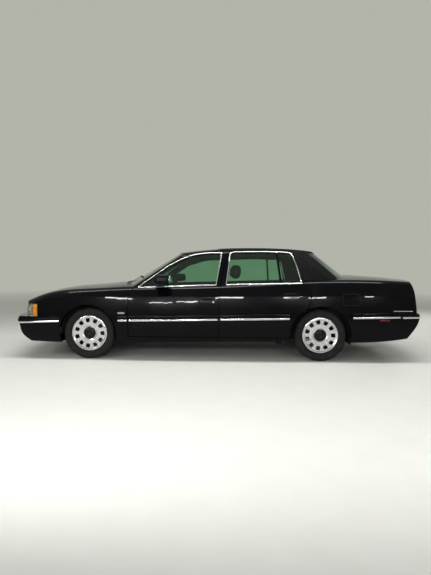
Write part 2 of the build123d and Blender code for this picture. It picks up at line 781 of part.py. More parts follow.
def cowl_panel():
    """Panel under the windscreen's foot, with the lugs of the bonnet hinges."""
    strip = bonnet_strip(BONNET_REAR_X - 50, BONNET_REAR_X + 150)
    strip &= block(-BIG, 0, -COWL_HALF_WIDTH, COWL_HALF_WIDTH, 0, BIG)
    dropped = Pos(0, 0, -COWL_DROP) * BODY
    sheet = (dropped & strip) - Pos(0, 0, -COWL_DROP - SKIN) * BODY
    inner_y, outer_y = -COWL_HALF_WIDTH + 12, -BONNET_EAR_Y + 0.5
    lug = hinge_lug(BONNET_HINGE_X, BONNET_HINGE_Z, outer_y, inner_y, BONNET_HINGE_Z + 30)
    lug &= dropped
    return sheet + [lug, mirror(lug, about=Plane.XZ)]


def hinge_points():
    return [
        (shut + HINGE_SETBACK, z) for shut in (FRONT_SHUT_X, MIDDLE_SHUT_X) for z in DOOR_HINGE_HEIGHTS
    ]


def hinge_arm(x, z):
    """Fixed half of a door hinge: an eye round the pin, on an arm from the pillar."""
    height = HINGE_HEIGHT - 10
    arm = Pos(x, -DOOR_HINGE_Y, z) * Cylinder(HINGE_EYE_RADIUS, height)
    arm += block(x - 6, x + 6, -DOOR_HINGE_Y, -PILLAR_OUTER_Y + 2, z - height / 2, z + height / 2)
    return arm - Pos(x, -DOOR_HINGE_Y, z) * Cylinder(HINGE_PIN_RADIUS + PIN_CLEARANCE, height + 2)


def middle_pillar():
    """Pillar between the doors, which stands inside both door frames and meets the roof."""
    outer, wall = FRAME_THICKNESS + 18, 30
    top = RAIL_LINE[0][1] + 10 + SHUT_GAP
    outline = [
        (pillar_x(870) - 35, 870, 0),
        (pillar_x(870) + 45, 870, 0),
        (pillar_x(top) + 45, top, 0),
        (pillar_x(top) - 35, top, 0),
    ]
    zone = CABIN & prism_y(outline, -BIG, -400)
    upper = (Pos(0, outer, 0) * HOUSE & zone) - Pos(0, outer + wall, 0) * HOUSE
    foot = FLOOR_Z + FLOOR_THICKNESS
    lower = block(-25, 130, -PILLAR_OUTER_Y, -PILLAR_OUTER_Y + 52, foot, 880)
    return [upper, lower]


def body_sides():
    """Rear quarter panels, sills, pillars and hinges of both sides."""
    half = BOOT_HALF_WIDTH + G
    quarter = SHELL & block(900, BIG, -BIG, -BOOT_HALF_WIDTH + 60, 0, BIG)
    quarter -= [
        DECK_ZONE,
        CABIN,
        block(BOOT_FRONT_X - 1, BIG, -half, 0, BOOT_LIP_Z - G, BIG),
        block(BOOT_FRONT_X - 1, BIG, -TAIL_LAMP_INNER_Y, 0, 0, BOOT_LIP_Z - G),
        block(-BIG, REAR_AXLE_X, -BIG, 0, 0, LINER_FOOT_Z),
        tail_lamp_zone(PANEL_GAP),
        block(REAR_BUMPER_FRONT_X - PANEL_GAP, BIG, -BIG, 0, 0, REAR_BUMPER_TOP_Z + PANEL_GAP),
        arch(REAR_AXLE_X, REAR_ARCH_RADIUS + 1, -BIG, 0),
        LEFT_DOOR_CUTS[1],
    ]
    sill_front = FRONT_SHUT_X - G + PANEL_GAP
    sill = BODY & block(sill_front, REAR_AXLE_X, -BIG, -SILL_INNER_Y, 0, DOOR_SILL_Z)
    sill -= [arch(REAR_AXLE_X, REAR_ARCH_RADIUS + 1, -BIG, 0), *LEFT_DOOR_CUTS]
    half_pad = JACK_PAD_LENGTH / 2
    pads = [block(x - half_pad, x + half_pad, *JACK_PAD_Y, JACK_PAD_Z, 262) for x in JACK_PAD_X]
    foot = FLOOR_Z + FLOOR_THICKNESS
    front_pillar = block(-1095, -995, -PILLAR_OUTER_Y, -PILLAR_OUTER_Y + 26, foot, PILLAR_TOP_Z)
    hinges = [hinge_arm(x, z) for x, z in hinge_points()]
    frame = sill + [front_pillar, *middle_pillar(), *hinges, *pads]
    return both_sides(quarter + arch_lip(REAR_AXLE_X, REAR_ARCH_RADIUS), frame)


def roof_panel():
    """Front roof skin, rails, pillars and the sheet under the padding."""
    metal = (HOUSE - [CABIN, BODY]) - HOUSE_CUTS
    return metal - (block(ROOF_SPLIT_X, BIG, -BIG, BIG, 0, BIG) - UNDER_PAD)


def padded_roof():
    zone = block(ROOF_SPLIT_X + SEAT_GAP, BIG, -BIG, BIG, 0, BIG)
    return (HOUSE & zone) - [UNDER_PAD, BODY, *HOUSE_CUTS]


def screens():
    """Windscreen and rear window, set into the house's openings."""
    outer, inner = house(SCREEN_DEPTH), house(SCREEN_DEPTH + SCREEN_THICKNESS)
    front = outer & prism_x(windscreen_outline(-SEAT_GAP), -BIG, -200)
    wing_band = BODY - block(-BIG, BIG, -BONNET_HALF_WIDTH, BONNET_HALF_WIDTH, 0, BIG)
    front -= [inner, Pos(0, 0, -COWL_DROP) * BODY, wing_band]
    rear = (outer & prism_x(backlight_outline(-SEAT_GAP), 700, BIG)) - [inner, BODY]
    return Compound([*front.solids(), *rear.solids()])


def door(outline, window, hinge_x, arch_radius=0.0, bar=False):
    """A door as thick as the whole wall, with its window frame, opening and hinge pins."""
    opening = prism_y(window(), -BIG, -400)
    if bar:
        lean = block(-DIVISION_WIDTH / 2, DIVISION_WIDTH / 2, -BIG, 0, 900, 1500)
        opening -= Pos(DIVISION_X - 60, 0, 0) * Rot(0, -6, 0) * Pos(183, 0, 0) * lean
    panel = BODY & prism_y(outline(), -BIG, -DOOR_INNER_Y)
    frame = (HOUSE & prism_y(outline(), -BIG, -400)) - [Pos(0, FRAME_THICKNESS, 0) * HOUSE, opening]
    cuts = [opening]
    if arch_radius:
        cuts.append(arch(REAR_AXLE_X, arch_radius, -BIG, 0))
    outer_y = -DOOR_HINGE_Y - HINGE_EYE_RADIUS - 1
    x0, x1 = hinge_x - HINGE_SETBACK - 20, hinge_x + HINGE_EYE_RADIUS + 4
    half = HINGE_HEIGHT / 2
    pins = []
    for z in DOOR_HINGE_HEIGHTS:
        cuts.append(block(x0, x1, outer_y, 0, z - half, z + half))
        pins.append(Pos(hinge_x, -DOOR_HINGE_Y, z) * Cylinder(HINGE_PIN_RADIUS, HINGE_HEIGHT + 8))
    return (panel - cuts) + [frame, *pins], opening


def side_glass(opening):
    d, t = SIDE_GLASS_DEPTH, GLASS_THICKNESS
    return (Pos(0, d, 0) * HOUSE & opening) - Pos(0, d + t, 0) * HOUSE


def doors():
    """Left door shells and glass, by name."""
    made = {}
    table = (
        ("front", front_door_outline, front_window_outline, FRONT_SHUT_X, 0.0, False),
        ("rear", rear_door_outline, rear_window_outline, MIDDLE_SHUT_X, REAR_ARCH_RADIUS + 26, True),
    )
    for name, outline, window, shut, radius, bar in table:
        shell, opening = door(outline, window, shut + HINGE_SETBACK, radius, bar)
        made[f"door_{name}"] = shell
        made[f"door_glass_{name}"] = side_glass(opening)
    return made


def mirror_left(door_shell, door_glass):
    housing = Pos(-655, -975, 1010) * Box(190, 180, 122)
    housing = fillet(housing.edges(), 40)
    foot = block(-765, -620, -905, -835, 948, 985)
    return (housing + foot) - [door_shell, door_glass]


def boot_floor_foot():
    """Height of the boot floor's underside."""
    return REAR_FLOOR_Z - REAR_FLOOR_THICKNESS


def floor_platform():
    """Floor, tunnel, bulkhead, rails and boot floor as one welding."""
    w, tunnel_w, top = SILL_INNER_Y, TUNNEL_HALF_WIDTH, FLOOR_Z + TUNNEL_HEIGHT
    wall_x, heel_x, under_z = BULKHEAD_X - BULKHEAD_THICKNESS, REAR_FLOOR_X - 10, boot_floor_foot()
    plate = block(BULKHEAD_X, REAR_FLOOR_X, -w, w, FLOOR_Z, FLOOR_Z + FLOOR_THICKNESS)
    plate += block(BULKHEAD_X, REAR_FLOOR_X, -tunnel_w, tunnel_w, FLOOR_Z, top)
    wall = block(wall_x, BULKHEAD_X, -w + 20, w - 20, FLOOR_Z, 1000)
    wall &= Pos(0, 0, -COWL_DROP - SKIN) * BODY
    notch_y = BONNET_EAR_Y + BONNET_EAR_WIDTH + 7
    notch = block(-BIG, 0, -notch_y, -COWL_HALF_WIDTH + 20, BONNET_HINGE_Z - 16, BIG)
    wall -= [notch, mirror(notch, about=Plane.XZ)]
    heel = block(heel_x, REAR_FLOOR_X, -w, w, FLOOR_Z, REAR_FLOOR_Z)
    tunnel_w -= TUNNEL_WALL
    tunnel = block(wall_x - 1, REAR_FLOOR_X + 1, -tunnel_w, tunnel_w, 0, top - TUNNEL_WALL)
    rear_w = REAR_LINER_INNER_Y - SEAT_GAP
    liner_reach = REAR_LINER_RADIUS + LINER_WALL + 7
    rear = block(heel_x, REAR_FLOOR_END_X, -rear_w, rear_w, under_z, REAR_FLOOR_Z)
    rear += block(heel_x, REAR_AXLE_X - liner_reach, -w, w, under_z, REAR_FLOOR_Z)
    rear += block(REAR_AXLE_X + liner_reach, 2250, -w, w, under_z, REAR_FLOOR_Z)
    rails = block(-2440, wall_x + 5, -RAIL_OUTER_Y, -RAIL_INNER_Y, 400, 490)
    rails += block(REAR_FLOOR_X, REAR_FLOOR_END_X - 55, -590, -530, 262, under_z + 5)
    beam_reach = AXLE_BEAM_HALF + AXLE_CLEARANCE
    rails -= block(REAR_AXLE_X - beam_reach, REAR_AXLE_X + beam_reach, -BIG, 0, 0, under_z + 1)
    support = block(-2350, -2330, -700, 700, 300, 700) - block(-BIG, BIG, -380, 380, 330, 660)
    whole = plate + [wall, heel, rear, support, *both_sides(rails).solids()]
    return whole - tunnel


def liner(x, radius, inner_y, lip_radius):
    """Wheelhouse: an arched sheet, its inner wall and the flange that meets the wing."""
    r, t = radius, LINER_WALL
    z = AXLE_Z + ARCH_RISE
    shell = cylinder_y(x, z, r + t, -LINER_OUTER_Y, -inner_y)
    shell -= cylinder_y(x, z, r, -BIG, -inner_y - t)
    flange = cylinder_y(x, z, r + t, -LINER_OUTER_Y, -LINER_OUTER_Y + t)
    flange -= cylinder_y(x, z, lip_radius + ARCH_LIP + SEAT_GAP, -BIG, 0)
    return (shell + flange) & block(-BIG, BIG, -BIG, 0, LINER_FOOT_Z, BIG)


def wheelhouses():
    front = liner(FRONT_AXLE_X, FRONT_LINER_RADIUS, FRONT_LINER_INNER_Y, FRONT_ARCH_RADIUS)
    rear = liner(REAR_AXLE_X, REAR_LINER_RADIUS, REAR_LINER_INNER_Y, REAR_ARCH_RADIUS)
    reach = AXLE_ARM_HALF + AXLE_CLEARANCE
    foot, top = REAR_AXLE_X - reach, AXLE_ARM_TOP_Z + AXLE_CLEARANCE
    rear -= block(foot, foot + 2 * reach, -REAR_LINER_INNER_Y - 10, 0, 0, top)
    return both_sides(front, rear)


def engine_block():
    return block(-1930, ENGINE_REAR_X, -395, 395, SUBFRAME_TOP_Z, 790)


def kingpin(side=-1):
    """A point on the steering axis and its direction."""
    lean = radians(KINGPIN_LEAN)
    return Vector(FRONT_AXLE_X, side * KINGPIN_Y, KINGPIN_Z), Vector(0, -side * sin(lean), cos(lean))


def front_subframe():
    foot, up = kingpin()
    frame = block(SUBFRAME_FRONT_X, -1180, -395, -335, 205, SUBFRAME_TOP_Z)
    for x in (SUBFRAME_FRONT_X, -1330):
        frame += block(x, x + 60, -395, 0, 205, SUBFRAME_TOP_Z)
    arm = prism_z(
        (
            (-1700, -360, 0),
            (-1486, -360, 0),
            (FRONT_AXLE_X + 24, -KINGPIN_Y, 0),
            (FRONT_AXLE_X - 24, -KINGPIN_Y, 0),
        ),
        192,
        210,
    )
    socket = along(foot - up * 26, up, 26, 22)
    arm -= along(foot, up, 60, 40)
    return joined_sides(frame + [arm, socket])


def knuckle():
    """Left front upright: strut on the steering axis, hub, disc and steering arm."""
    foot, up = kingpin()
    shape = along(foot + up * SEAT_GAP, up, 470, 24)
    shape += cylinder_y(FRONT_AXLE_X, AXLE_Z, 46, -HUB_FACE_Y + 20, -KINGPIN_Y + 28)
    shape += cylinder_y(FRONT_AXLE_X, AXLE_Z, HUB_RADIUS, -HUB_FACE_Y + SEAT_GAP, -HUB_FACE_Y + 18)
    shape += cylinder_y(FRONT_AXLE_X, AXLE_Z, 142, -HUB_FACE_Y + 18, -HUB_FACE_Y + 42)
    shape += block(FRONT_AXLE_X, FRONT_AXLE_X + 120, -690, -665, 262, 290)
    return shape


def rear_suspension():
    half = AXLE_BEAM_HALF
    beam = block(REAR_AXLE_X - half, REAR_AXLE_X + half, -560, 0, 268, boot_floor_foot() - SEAT_GAP)
    half = AXLE_ARM_HALF
    arm = block(REAR_AXLE_X - half, REAR_AXLE_X + half, -690, -520, AXLE_ARM_FOOT_Z, AXLE_ARM_TOP_Z)
    hub = cylinder_y(REAR_AXLE_X, AXLE_Z, 50, -HUB_FACE_Y + 20, -655)
    hub += cylinder_y(REAR_AXLE_X, AXLE_Z, HUB_RADIUS, -HUB_FACE_Y + SEAT_GAP, -HUB_FACE_Y + 18)
    hub += cylinder_y(REAR_AXLE_X, AXLE_Z, 142, -HUB_FACE_Y + 18, -HUB_FACE_Y + 60)
    strut = Pos(REAR_AXLE_X, -635, 480) * Cylinder(26, 350)
    return joined_sides(beam + [arm, hub, strut])


def exhaust_system():
    run = (
        (ENGINE_REAR_X + SEAT_GAP, 0, 294),
        (REAR_FLOOR_X + 20, 0, 278),
        (REAR_AXLE_X - 198, EXHAUST_Y, EXHAUST_Z),
        (1750, EXHAUST_Y, EXHAUST_Z),
    )
    path = FilletPolyline(*run, radius=150)
    start = Plane(origin=run[0], z_dir=Vector(*run[1]) - Vector(*run[0]))
    pipe = sweep(start * Circle(EXHAUST_RADIUS), path=path)
    box = fillet(block(1740, 2180, 170, 520, 215, 305).edges(), 30)
    tail = Pos(2370, 430, 250) * Rot(0, 90, 0) * Cylinder(EXHAUST_RADIUS - 2, 400)
    top = boot_floor_foot()
    hangers = [Pos(x, 345, top - 13) * Cylinder(6, 26) for x in (1850, 2080)]
    return pipe + [box, tail, *hangers]


def fuel_tank():
    tank = block(REAR_FLOOR_X + 30, 1010, -515, -45, 238, boot_floor_foot() - SEAT_GAP)
    return fillet(tank.edges(), 24)


DASH = (
    (-1050, 660, 0),
    (-700, 640, 30),
    (-640, 700, 20),
    (-650, 860, 50),
    (-740, 912, 30),
    (-900, 912, 0),
    (-1050, 868, 0),
)


def dashboard():
    half = PILLAR_OUTER_Y - 26 - SEAT_GAP
    return prism_y(DASH, -half, half)


def steering_wheel():
    tilt = 24
    at = Pos(-545, -370, 905) * Rot(0, -90 - tilt, 0)
    wheel = Torus(188, 13) + Cylinder(52, 34)
    for turn in (0, 130, 230):
        wheel += Rot(0, 0, turn) * Pos(95, 0, 0) * Box(180, 30, 12)
    wheel += Pos(0, 0, 130) * Cylinder(26, 260)
    return at * wheel - prism_y(grown(DASH, SEAT_GAP), -790, 790)


def seat_profile(x, z, lean):
    """Side view of a seat with its back: the cushion's rear edge at x, its underside at z."""
    return (
        (x - 520, z, 60),
        (x + 60, z, 60),
        (x + lean + 130, z + 560, 50),
        (x + lean, z + 600, 60),
        (x - 60, z + 190, 60),
        (x - 520, z + 210, 80),
    )


def front_seats():
    seat = prism_y(seat_profile(130, 295, 90), -640, -110)
    head = Pos(250, -375, 1090) * Box(110, 280, 180)
    head = fillet(head.edges(), 45)
    posts = Pos(250, -375, 950) * Box(20, 120, 140)
    rails = block(-300, 80, -600, -150, FLOOR_Z + FLOOR_THICKNESS + SEAT_GAP, 310)
    return both_sides(seat + [head, posts, rails])


def rear_seat():
    half = REAR_LINER_INNER_Y - 8
    return prism_y(seat_profile(1120, REAR_FLOOR_Z + SEAT_GAP, 60), -half, half)


def ring_of(profile):
    """Revolve a profile of (radius, y) points about the wheel's axis."""
    face = Face(Wire.make_polygon([Vector(r, y, 0) for r, y in profile]))
    return revolve(face, Axis.Y)


def wheel():
    """Left wheel about its own centre, outer face towards -Y."""
    face = HUB_FACE_Y - HALF_TRACK
    half = RIM_WIDTH / 2
    b, f = BARREL_RADIUS, FLANGE_RADIUS
    profile = (
        (0, face),
        (78, face),
        (100, face + 12),
        (186, face + 14),
        (b - 8, face + 4),
        (b - 7, -half + 10),
        (b, -half - 4),
        (f, -half - 5),
        (f, -half),
        (b, -half + 9),
        (b, half - 9),
        (f, half),
        (f, half + 5),
        (b + 4, half + 7),
        (b - 10, half - 2),
        (CAP_RADIUS + 12, half - 6),
        (CAP_RADIUS, half - 12),
        (0, half - 12),
    )
    rim = ring_of([(r, -y) for r, y in profile])
    half_width = SLOT_WIDTH / 2
    slot = prism_y(
        (
            (SLOT_INNER_RADIUS, -half_width * 0.8, 10),
            (SLOT_OUTER_RADIUS, -half_width, 12),
            (SLOT_OUTER_RADIUS, half_width, 12),
            (SLOT_INNER_RADIUS, half_width * 0.8, 10),
        ),
        -200,
        -10,
    )
    slots = [Rot(0, 360 / WHEEL_SLOTS * i, 0) * slot for i in range(WHEEL_SLOTS)]
    cap = (
        (0, -half + 13),
        (CAP_RADIUS - 1, -half + 13),
        (CAP_RADIUS - 6, -half + 4),
        (40, -half - 2),
        (0, -half - 4),
    )
    return (rim - slots) + ring_of(cap)


def tyre():
    half = TYRE_WIDTH / 2
    low, r = BARREL_RADIUS + 0.5, TYRE_RADIUS
    side = [
        (low, RIM_WIDTH / 2 - 10),
        (FLANGE_RADIUS + 0.8, RIM_WIDTH / 2 - 2),
        (FLANGE_RADIUS + 10, half - 9),
        (r - 66, half),
        (r - 36, half - 1),
        (r - 12, half - 12),
        (r, half - 31),
    ]
    profile = side + [(a, -b) for a, b in reversed(side)]
    return ring_of(profile)


def at_wheel(shape, x, side):
    """Place a left-hand wheel part on an axle, turned over for the right-hand side."""
    placed = Pos(x, -HALF_TRACK, AXLE_Z) * shape
    return placed if side < 0 else mirror(placed, about=Plane.XZ)


def main():
    parts = {
        "bonnet": bonnet(),
        "boot_lid": boot_lid(),
        "front_wings": front_wings(),
        "headlamp_lenses": headlamp_lenses(),
        "headlamps": headlamps(),
        "nose_panel": nose_panel(),
        "grille": grille(),
        "front_bumper": front_bumper(),
        "rear_bumper": rear_bumper(),
        "tail_lamps": tail_lamps(),
        "tail_panel": tail_panel(),
        "rear_deck_panel": rear_deck_panel(),
        "cowl_panel": cowl_panel(),
        "body_sides": body_sides(),
        "roof_panel": roof_panel(),
        "padded_roof": padded_roof(),
        "screens": screens(),
        "floor_platform": floor_platform(),
        "wheelhouses": wheelhouses(),
        "engine_block": engine_block(),
        "front_subframe": front_subframe(),
        "rear_suspension": rear_suspension(),
        "exhaust_system": exhaust_system(),
        "fuel_tank": fuel_tank(),
        "dashboard": dashboard(),
        "steering_wheel": steering_wheel(),
        "front_seats": front_seats(),
        "rear_seat": rear_seat(),
    }
    left = doors()
    left["mirror"] = mirror_left(left["door_front"], left["door_glass_front"])
    left["knuckle"] = knuckle()
    for name, shape in left.items():
        parts[f"{name}_left"] = shape
        parts[f"{name}_right"] = mirror(shape, about=Plane.XZ)
    rim, rubber = wheel(), tyre()
    for axle, x in (("front", FRONT_AXLE_X), ("rear", REAR_AXLE_X)):
        for side, word in ((-1, "left"), (1, "right")):
            parts[f"wheel_{axle}_{word}"] = at_wheel(rim, x, side)
            parts[f"tyre_{axle}_{word}"] = at_wheel(rubber, x, side)
    return parts


os.makedirs("parts", exist_ok=True)
for name, shape in main().items():
    export_step(shape, f"parts/{name}.step")
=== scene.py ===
# %% [markdown]
# A long, black four-door saloon car of the late 1990s, seen from its left side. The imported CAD
# model is the fixed frame: it holds every panel, pane, wheel and joint at its true size. This
# script never moves a CAD part. It gives each one a finish, swaps the soft and ribbed parts for
# modelled meshes, and adds the bright trim that is too thin to draw as a solid.

# %% Load the frame
import math

import bmesh
import bpy
import numpy as np
from mathutils import Matrix, Vector
from mathutils.bvhtree import BVHTree


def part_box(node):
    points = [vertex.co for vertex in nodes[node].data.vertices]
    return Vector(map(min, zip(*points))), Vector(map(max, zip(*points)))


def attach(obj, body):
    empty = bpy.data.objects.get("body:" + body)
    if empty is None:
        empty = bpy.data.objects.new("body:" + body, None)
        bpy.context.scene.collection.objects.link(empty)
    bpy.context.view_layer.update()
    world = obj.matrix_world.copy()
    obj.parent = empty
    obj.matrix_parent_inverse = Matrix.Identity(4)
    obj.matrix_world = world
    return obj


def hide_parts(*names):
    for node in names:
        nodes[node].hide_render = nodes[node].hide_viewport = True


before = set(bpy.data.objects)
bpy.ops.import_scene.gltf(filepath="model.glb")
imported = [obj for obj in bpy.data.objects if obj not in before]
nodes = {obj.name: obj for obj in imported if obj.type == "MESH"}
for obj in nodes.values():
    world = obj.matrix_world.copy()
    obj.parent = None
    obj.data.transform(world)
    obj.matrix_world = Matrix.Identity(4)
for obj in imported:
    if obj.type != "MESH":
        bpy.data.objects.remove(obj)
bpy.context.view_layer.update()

# %% [markdown]
# Every finish starts from Blender's Principled shader. A value that is the same all over goes
# straight on the shader's socket. Whatever varies, such as dust or grain, comes from noise in
# object space, because every piece sits at the origin and so shares one set of coordinates.

# %% Helpers for finishes
def finish(name, colour, roughness, metallic=0.0, **sockets):
    """A Principled material with its plain values set on the sockets."""
    material = bpy.data.materials.new(name)
    material.use_nodes = True
    shader = material.node_tree.nodes["Principled BSDF"]
    shader.inputs["Base Color"].default_value = (*colour, 1)
    shader.inputs["Roughness"].default_value = roughness
    shader.inputs["Metallic"].default_value = metallic
    for socket, value in sockets.items():
        shader.inputs[socket.replace("_", " ")].default_value = value
    return material


def add_node(material, kind, **inputs):
    node = material.node_tree.nodes.new(kind)
    for socket, value in inputs.items():
        node.inputs[socket.replace("_", " ")].default_value = value
    return node


def link(material, out_socket, in_socket):
    material.node_tree.links.new(out_socket, in_socket)


def place_of(material, stretch=(1, 1, 1)):
    """Object coordinates, stretched along the axes."""
    coordinates = add_node(material, "ShaderNodeTexCoord")
    mapping = add_node(material, "ShaderNodeMapping")
    mapping.inputs["Scale"].default_value = stretch
    link(material, coordinates.outputs["Object"], mapping.inputs["Vector"])
    return mapping.outputs["Vector"]


def noise_of(material, scale, detail=3.0, stretch=(1, 1, 1)):
    texture = add_node(material, "ShaderNodeTexNoise", Scale=scale, Detail=detail)
    link(material, place_of(material, stretch), texture.inputs["Vector"])
    return texture.outputs["Fac"]


def cells_of(material, scale, stretch=(1, 1, 1)):
    texture = add_node(material, "ShaderNodeTexVoronoi", Scale=scale)
    link(material, place_of(material, stretch), texture.inputs["Vector"])
    return texture.outputs["Distance"]


def vary(material, source, socket, low, high, start=0.3, end=0.7):
    """Drive a shader socket between two values, or two colours, from a texture."""
    ramp = add_node(material, "ShaderNodeValToRGB")
    first, last = ramp.color_ramp.elements
    first.position, last.position = start, end
    for element, value in ((first, low), (last, high)):
        element.color = (*value, 1) if isinstance(value, tuple) else (value, value, value, 1)
    link(material, source, ramp.inputs["Fac"])
    shader = material.node_tree.nodes["Principled BSDF"]
    link(material, ramp.outputs["Color"], shader.inputs[socket])


def mottle(material, socket, scale, detail, low, high, start=0.3, end=0.7):
    """Vary a socket in soft patches of noise."""
    vary(material, noise_of(material, scale, detail), socket, low, high, start, end)


def relief(material, source, strength, depth):
    """Bump from a texture: depth in metres."""
    bump = add_node(material, "ShaderNodeBump", Strength=strength, Distance=depth)
    shader = material.node_tree.nodes["Principled BSDF"]
    previous = shader.inputs["Normal"].links
    if previous:
        link(material, previous[0].from_socket, bump.inputs["Normal"])
    link(material, source, bump.inputs["Height"])
    link(material, bump.outputs["Normal"], shader.inputs["Normal"])


# %% [markdown]
# The body is deep gloss black. Real enamel has a hard clear coat over the colour, a faint orange
# peel that breaks up long reflections, and a little road dust in patches. The coat carries the
# sharp reflection, the base roughness varies with the dust. In the photograph the panels are
# nearly black between thin bright streaks, so the base reflects little and the coat is weak:
# only the lamps are strong enough to show in it.

# %% Black enamel
black_paint = finish(
    "black_paint", (0.0015, 0.0015, 0.0025), 0.2, Specular_IOR_Level=0.04,
    Coat_Weight=0.7, Coat_Roughness=0.02, Coat_IOR=1.18,
)
mottle(black_paint, "Roughness", 2.5, 5, 0.14, 0.28)
mottle(black_paint, "Base Color", 6, 6, (0.001, 0.0011, 0.002), (0.0026, 0.0027, 0.0034), 0.45, 0.8)
relief(black_paint, noise_of(black_paint, 420, 2), 0.02, 0.0003)
print("black enamel ready")

# %% [markdown]
# The rear half of the roof wears padded vinyl. It is the same black but matt, with a fine
# leather-like grain and long soft undulations where the foam below is uneven.

# %% Padded vinyl
roof_vinyl = finish("roof_vinyl", (0.0025, 0.0025, 0.003), 0.66, Specular_IOR_Level=0.08)
mottle(roof_vinyl, "Base Color", 9, 4, (0.0018, 0.0018, 0.0024), (0.0036, 0.0036, 0.0042))
mottle(roof_vinyl, "Roughness", 25, 4, 0.58, 0.74)
relief(roof_vinyl, cells_of(roof_vinyl, 420), 0.4, 0.0006)
relief(roof_vinyl, noise_of(roof_vinyl, 7, 2), 0.12, 0.003)

# %% [markdown]
# Bright trim is plated and polished; the wheels are a softer, brushed aluminium under lacquer.
# Both are metals, so their colour tints the reflection and nothing else shows.

# %% Bright metals
chrome = finish("chrome", (0.78, 0.78, 0.79), 0.07, 1.0)
mottle(chrome, "Roughness", 14, 4, 0.04, 0.14)
mottle(chrome, "Base Color", 5, 3, (0.72, 0.72, 0.73), (0.84, 0.84, 0.85))
wheel_alloy = finish("wheel_alloy", (0.62, 0.62, 0.63), 0.2, 1.0)
mottle(wheel_alloy, "Roughness", 30, 5, 0.14, 0.28)
mottle(wheel_alloy, "Base Color", 8, 4, (0.52, 0.52, 0.53), (0.72, 0.72, 0.72))
relief(wheel_alloy, noise_of(wheel_alloy, 650, 2), 0.03, 0.0003)
steel = finish("dull_steel", (0.3, 0.29, 0.28), 0.45, 1.0)
mottle(steel, "Base Color", 18, 6, (0.16, 0.14, 0.12), (0.38, 0.37, 0.36))
relief(steel, noise_of(steel, 160, 4), 0.3, 0.0006)
iron = finish("cast_iron", (0.06, 0.06, 0.06), 0.7, 0.6)
mottle(iron, "Base Color", 22, 6, (0.03, 0.028, 0.026), (0.1, 0.09, 0.08))
relief(iron, noise_of(iron, 240, 4), 0.5, 0.001)
mirror_glass = finish("mirror_glass", (0.85, 0.86, 0.87), 0.02, 1.0)
mottle(mirror_glass, "Roughness", 12, 3, 0.01, 0.05)

# %% [markdown]
# Glass and lenses let light through. The car's panes are tinted green, so the far window shows
# through the near one in a deeper green, as in the photograph. The windscreen and the rear
# window darken towards the top: painted shade in the glass, standing for the dark cabin seen
# through the windscreen's top. The headlamp's outer end is amber: one ramp along the car's
# length changes the colour where the real lens is parted.

# %% Glass and lenses
def along_axis(material, axis):
    """One object coordinate, in metres."""
    apart = add_node(material, "ShaderNodeSeparateXYZ")
    link(material, place_of(material), apart.inputs[0])
    return apart.outputs[axis]


def share_between(material, source, start, end):
    """0 where the source is at start, 1 where it is at end."""
    spread = add_node(material, "ShaderNodeMapRange")
    spread.inputs["From Min"].default_value, spread.inputs["From Max"].default_value = start, end
    link(material, source, spread.inputs["Value"])
    return spread.outputs["Result"]


tinted_glass = finish("tinted_glass", (0.42, 0.66, 0.5), 0.0, Transmission_Weight=1.0, IOR=1.42)
mottle(tinted_glass, "Base Color", 3, 3, (0.4, 0.64, 0.48), (0.45, 0.69, 0.53))
screen_glass = finish("screen_glass", (0.42, 0.66, 0.5), 0.0, Transmission_Weight=1.0, IOR=1.42)
# Painted shade: the glass darkens towards the top, standing for the dark cabin seen through it.
PAINTED_SHADE_FROM, PAINTED_SHADE_TO = 1.1, 1.3
painted_shade = share_between(screen_glass, along_axis(screen_glass, "Z"), PAINTED_SHADE_FROM, PAINTED_SHADE_TO)
vary(screen_glass, painted_shade, "Base Color", (0.42, 0.66, 0.5), (0.08, 0.17, 0.12), 0.0, 1.0)
CLEAR, AMBER = (0.97, 0.95, 0.9), (1.0, 0.72, 0.3)
lamp_lens = finish("lamp_lens", CLEAR, 0.03, Transmission_Weight=1.0, IOR=1.35)
AMBER_FROM, PART_WIDTH = -2.297, 0.002
parting = share_between(lamp_lens, along_axis(lamp_lens, "X"), AMBER_FROM, AMBER_FROM + PART_WIDTH)
vary(lamp_lens, parting, "Base Color", CLEAR, AMBER, 0.0, 1.0)
lamp_bowl = finish("lamp_bowl", (0.96, 0.95, 0.92), 0.12, 0.85)
mottle(lamp_bowl, "Roughness", 60, 2, 0.06, 0.2)
relief(lamp_bowl, cells_of(lamp_bowl, 34, (0.4, 1.6, 0.4)), 0.6, 0.006)
amber_lens = finish("amber_lens", (1.0, 0.55, 0.06), 0.2, Specular_IOR_Level=0.7)
vary(amber_lens, cells_of(amber_lens, 70), "Base Color", (1.0, 0.45, 0.03), (1.0, 0.72, 0.16), 0.1, 0.6)
red_lens = finish("red_lens", (0.1, 0.002, 0.003), 0.1, Coat_Weight=0.3)
mottle(red_lens, "Base Color", 20, 2, (0.075, 0.0015, 0.002), (0.13, 0.003, 0.004))
relief(red_lens, noise_of(red_lens, 20, 0, (0.2, 4, 4)), 0.4, 0.002)

# %% [markdown]
# The rest is black and grey: tyre rubber, grained plastic, hide on the seats, and the rough
# coating under the floor. They differ in roughness and in the size of their grain.

# %% Rubber, plastic, hide and underbody
rubber = finish("tyre_rubber", (0.007, 0.007, 0.007), 0.75, Specular_IOR_Level=0.2)
mottle(rubber, "Base Color", 16, 5, (0.005, 0.005, 0.005), (0.012, 0.0118, 0.0115))
mottle(rubber, "Roughness", 40, 3, 0.6, 0.85)
relief(rubber, noise_of(rubber, 500, 3), 0.25, 0.0005)
dark_plastic = finish("dark_plastic", (0.016, 0.016, 0.017), 0.5)
mottle(dark_plastic, "Roughness", 12, 4, 0.42, 0.62)
relief(dark_plastic, cells_of(dark_plastic, 700), 0.35, 0.0003)
gloss_plastic = finish(
    "gloss_plastic", (0.004, 0.004, 0.004), 0.2, Specular_IOR_Level=0.12, Coat_Weight=0.1,
)
mottle(gloss_plastic, "Roughness", 9, 3, 0.1, 0.24)
hide = finish("seat_hide", (0.035, 0.033, 0.032), 0.45)
mottle(hide, "Base Color", 11, 5, (0.026, 0.024, 0.023), (0.05, 0.047, 0.045))
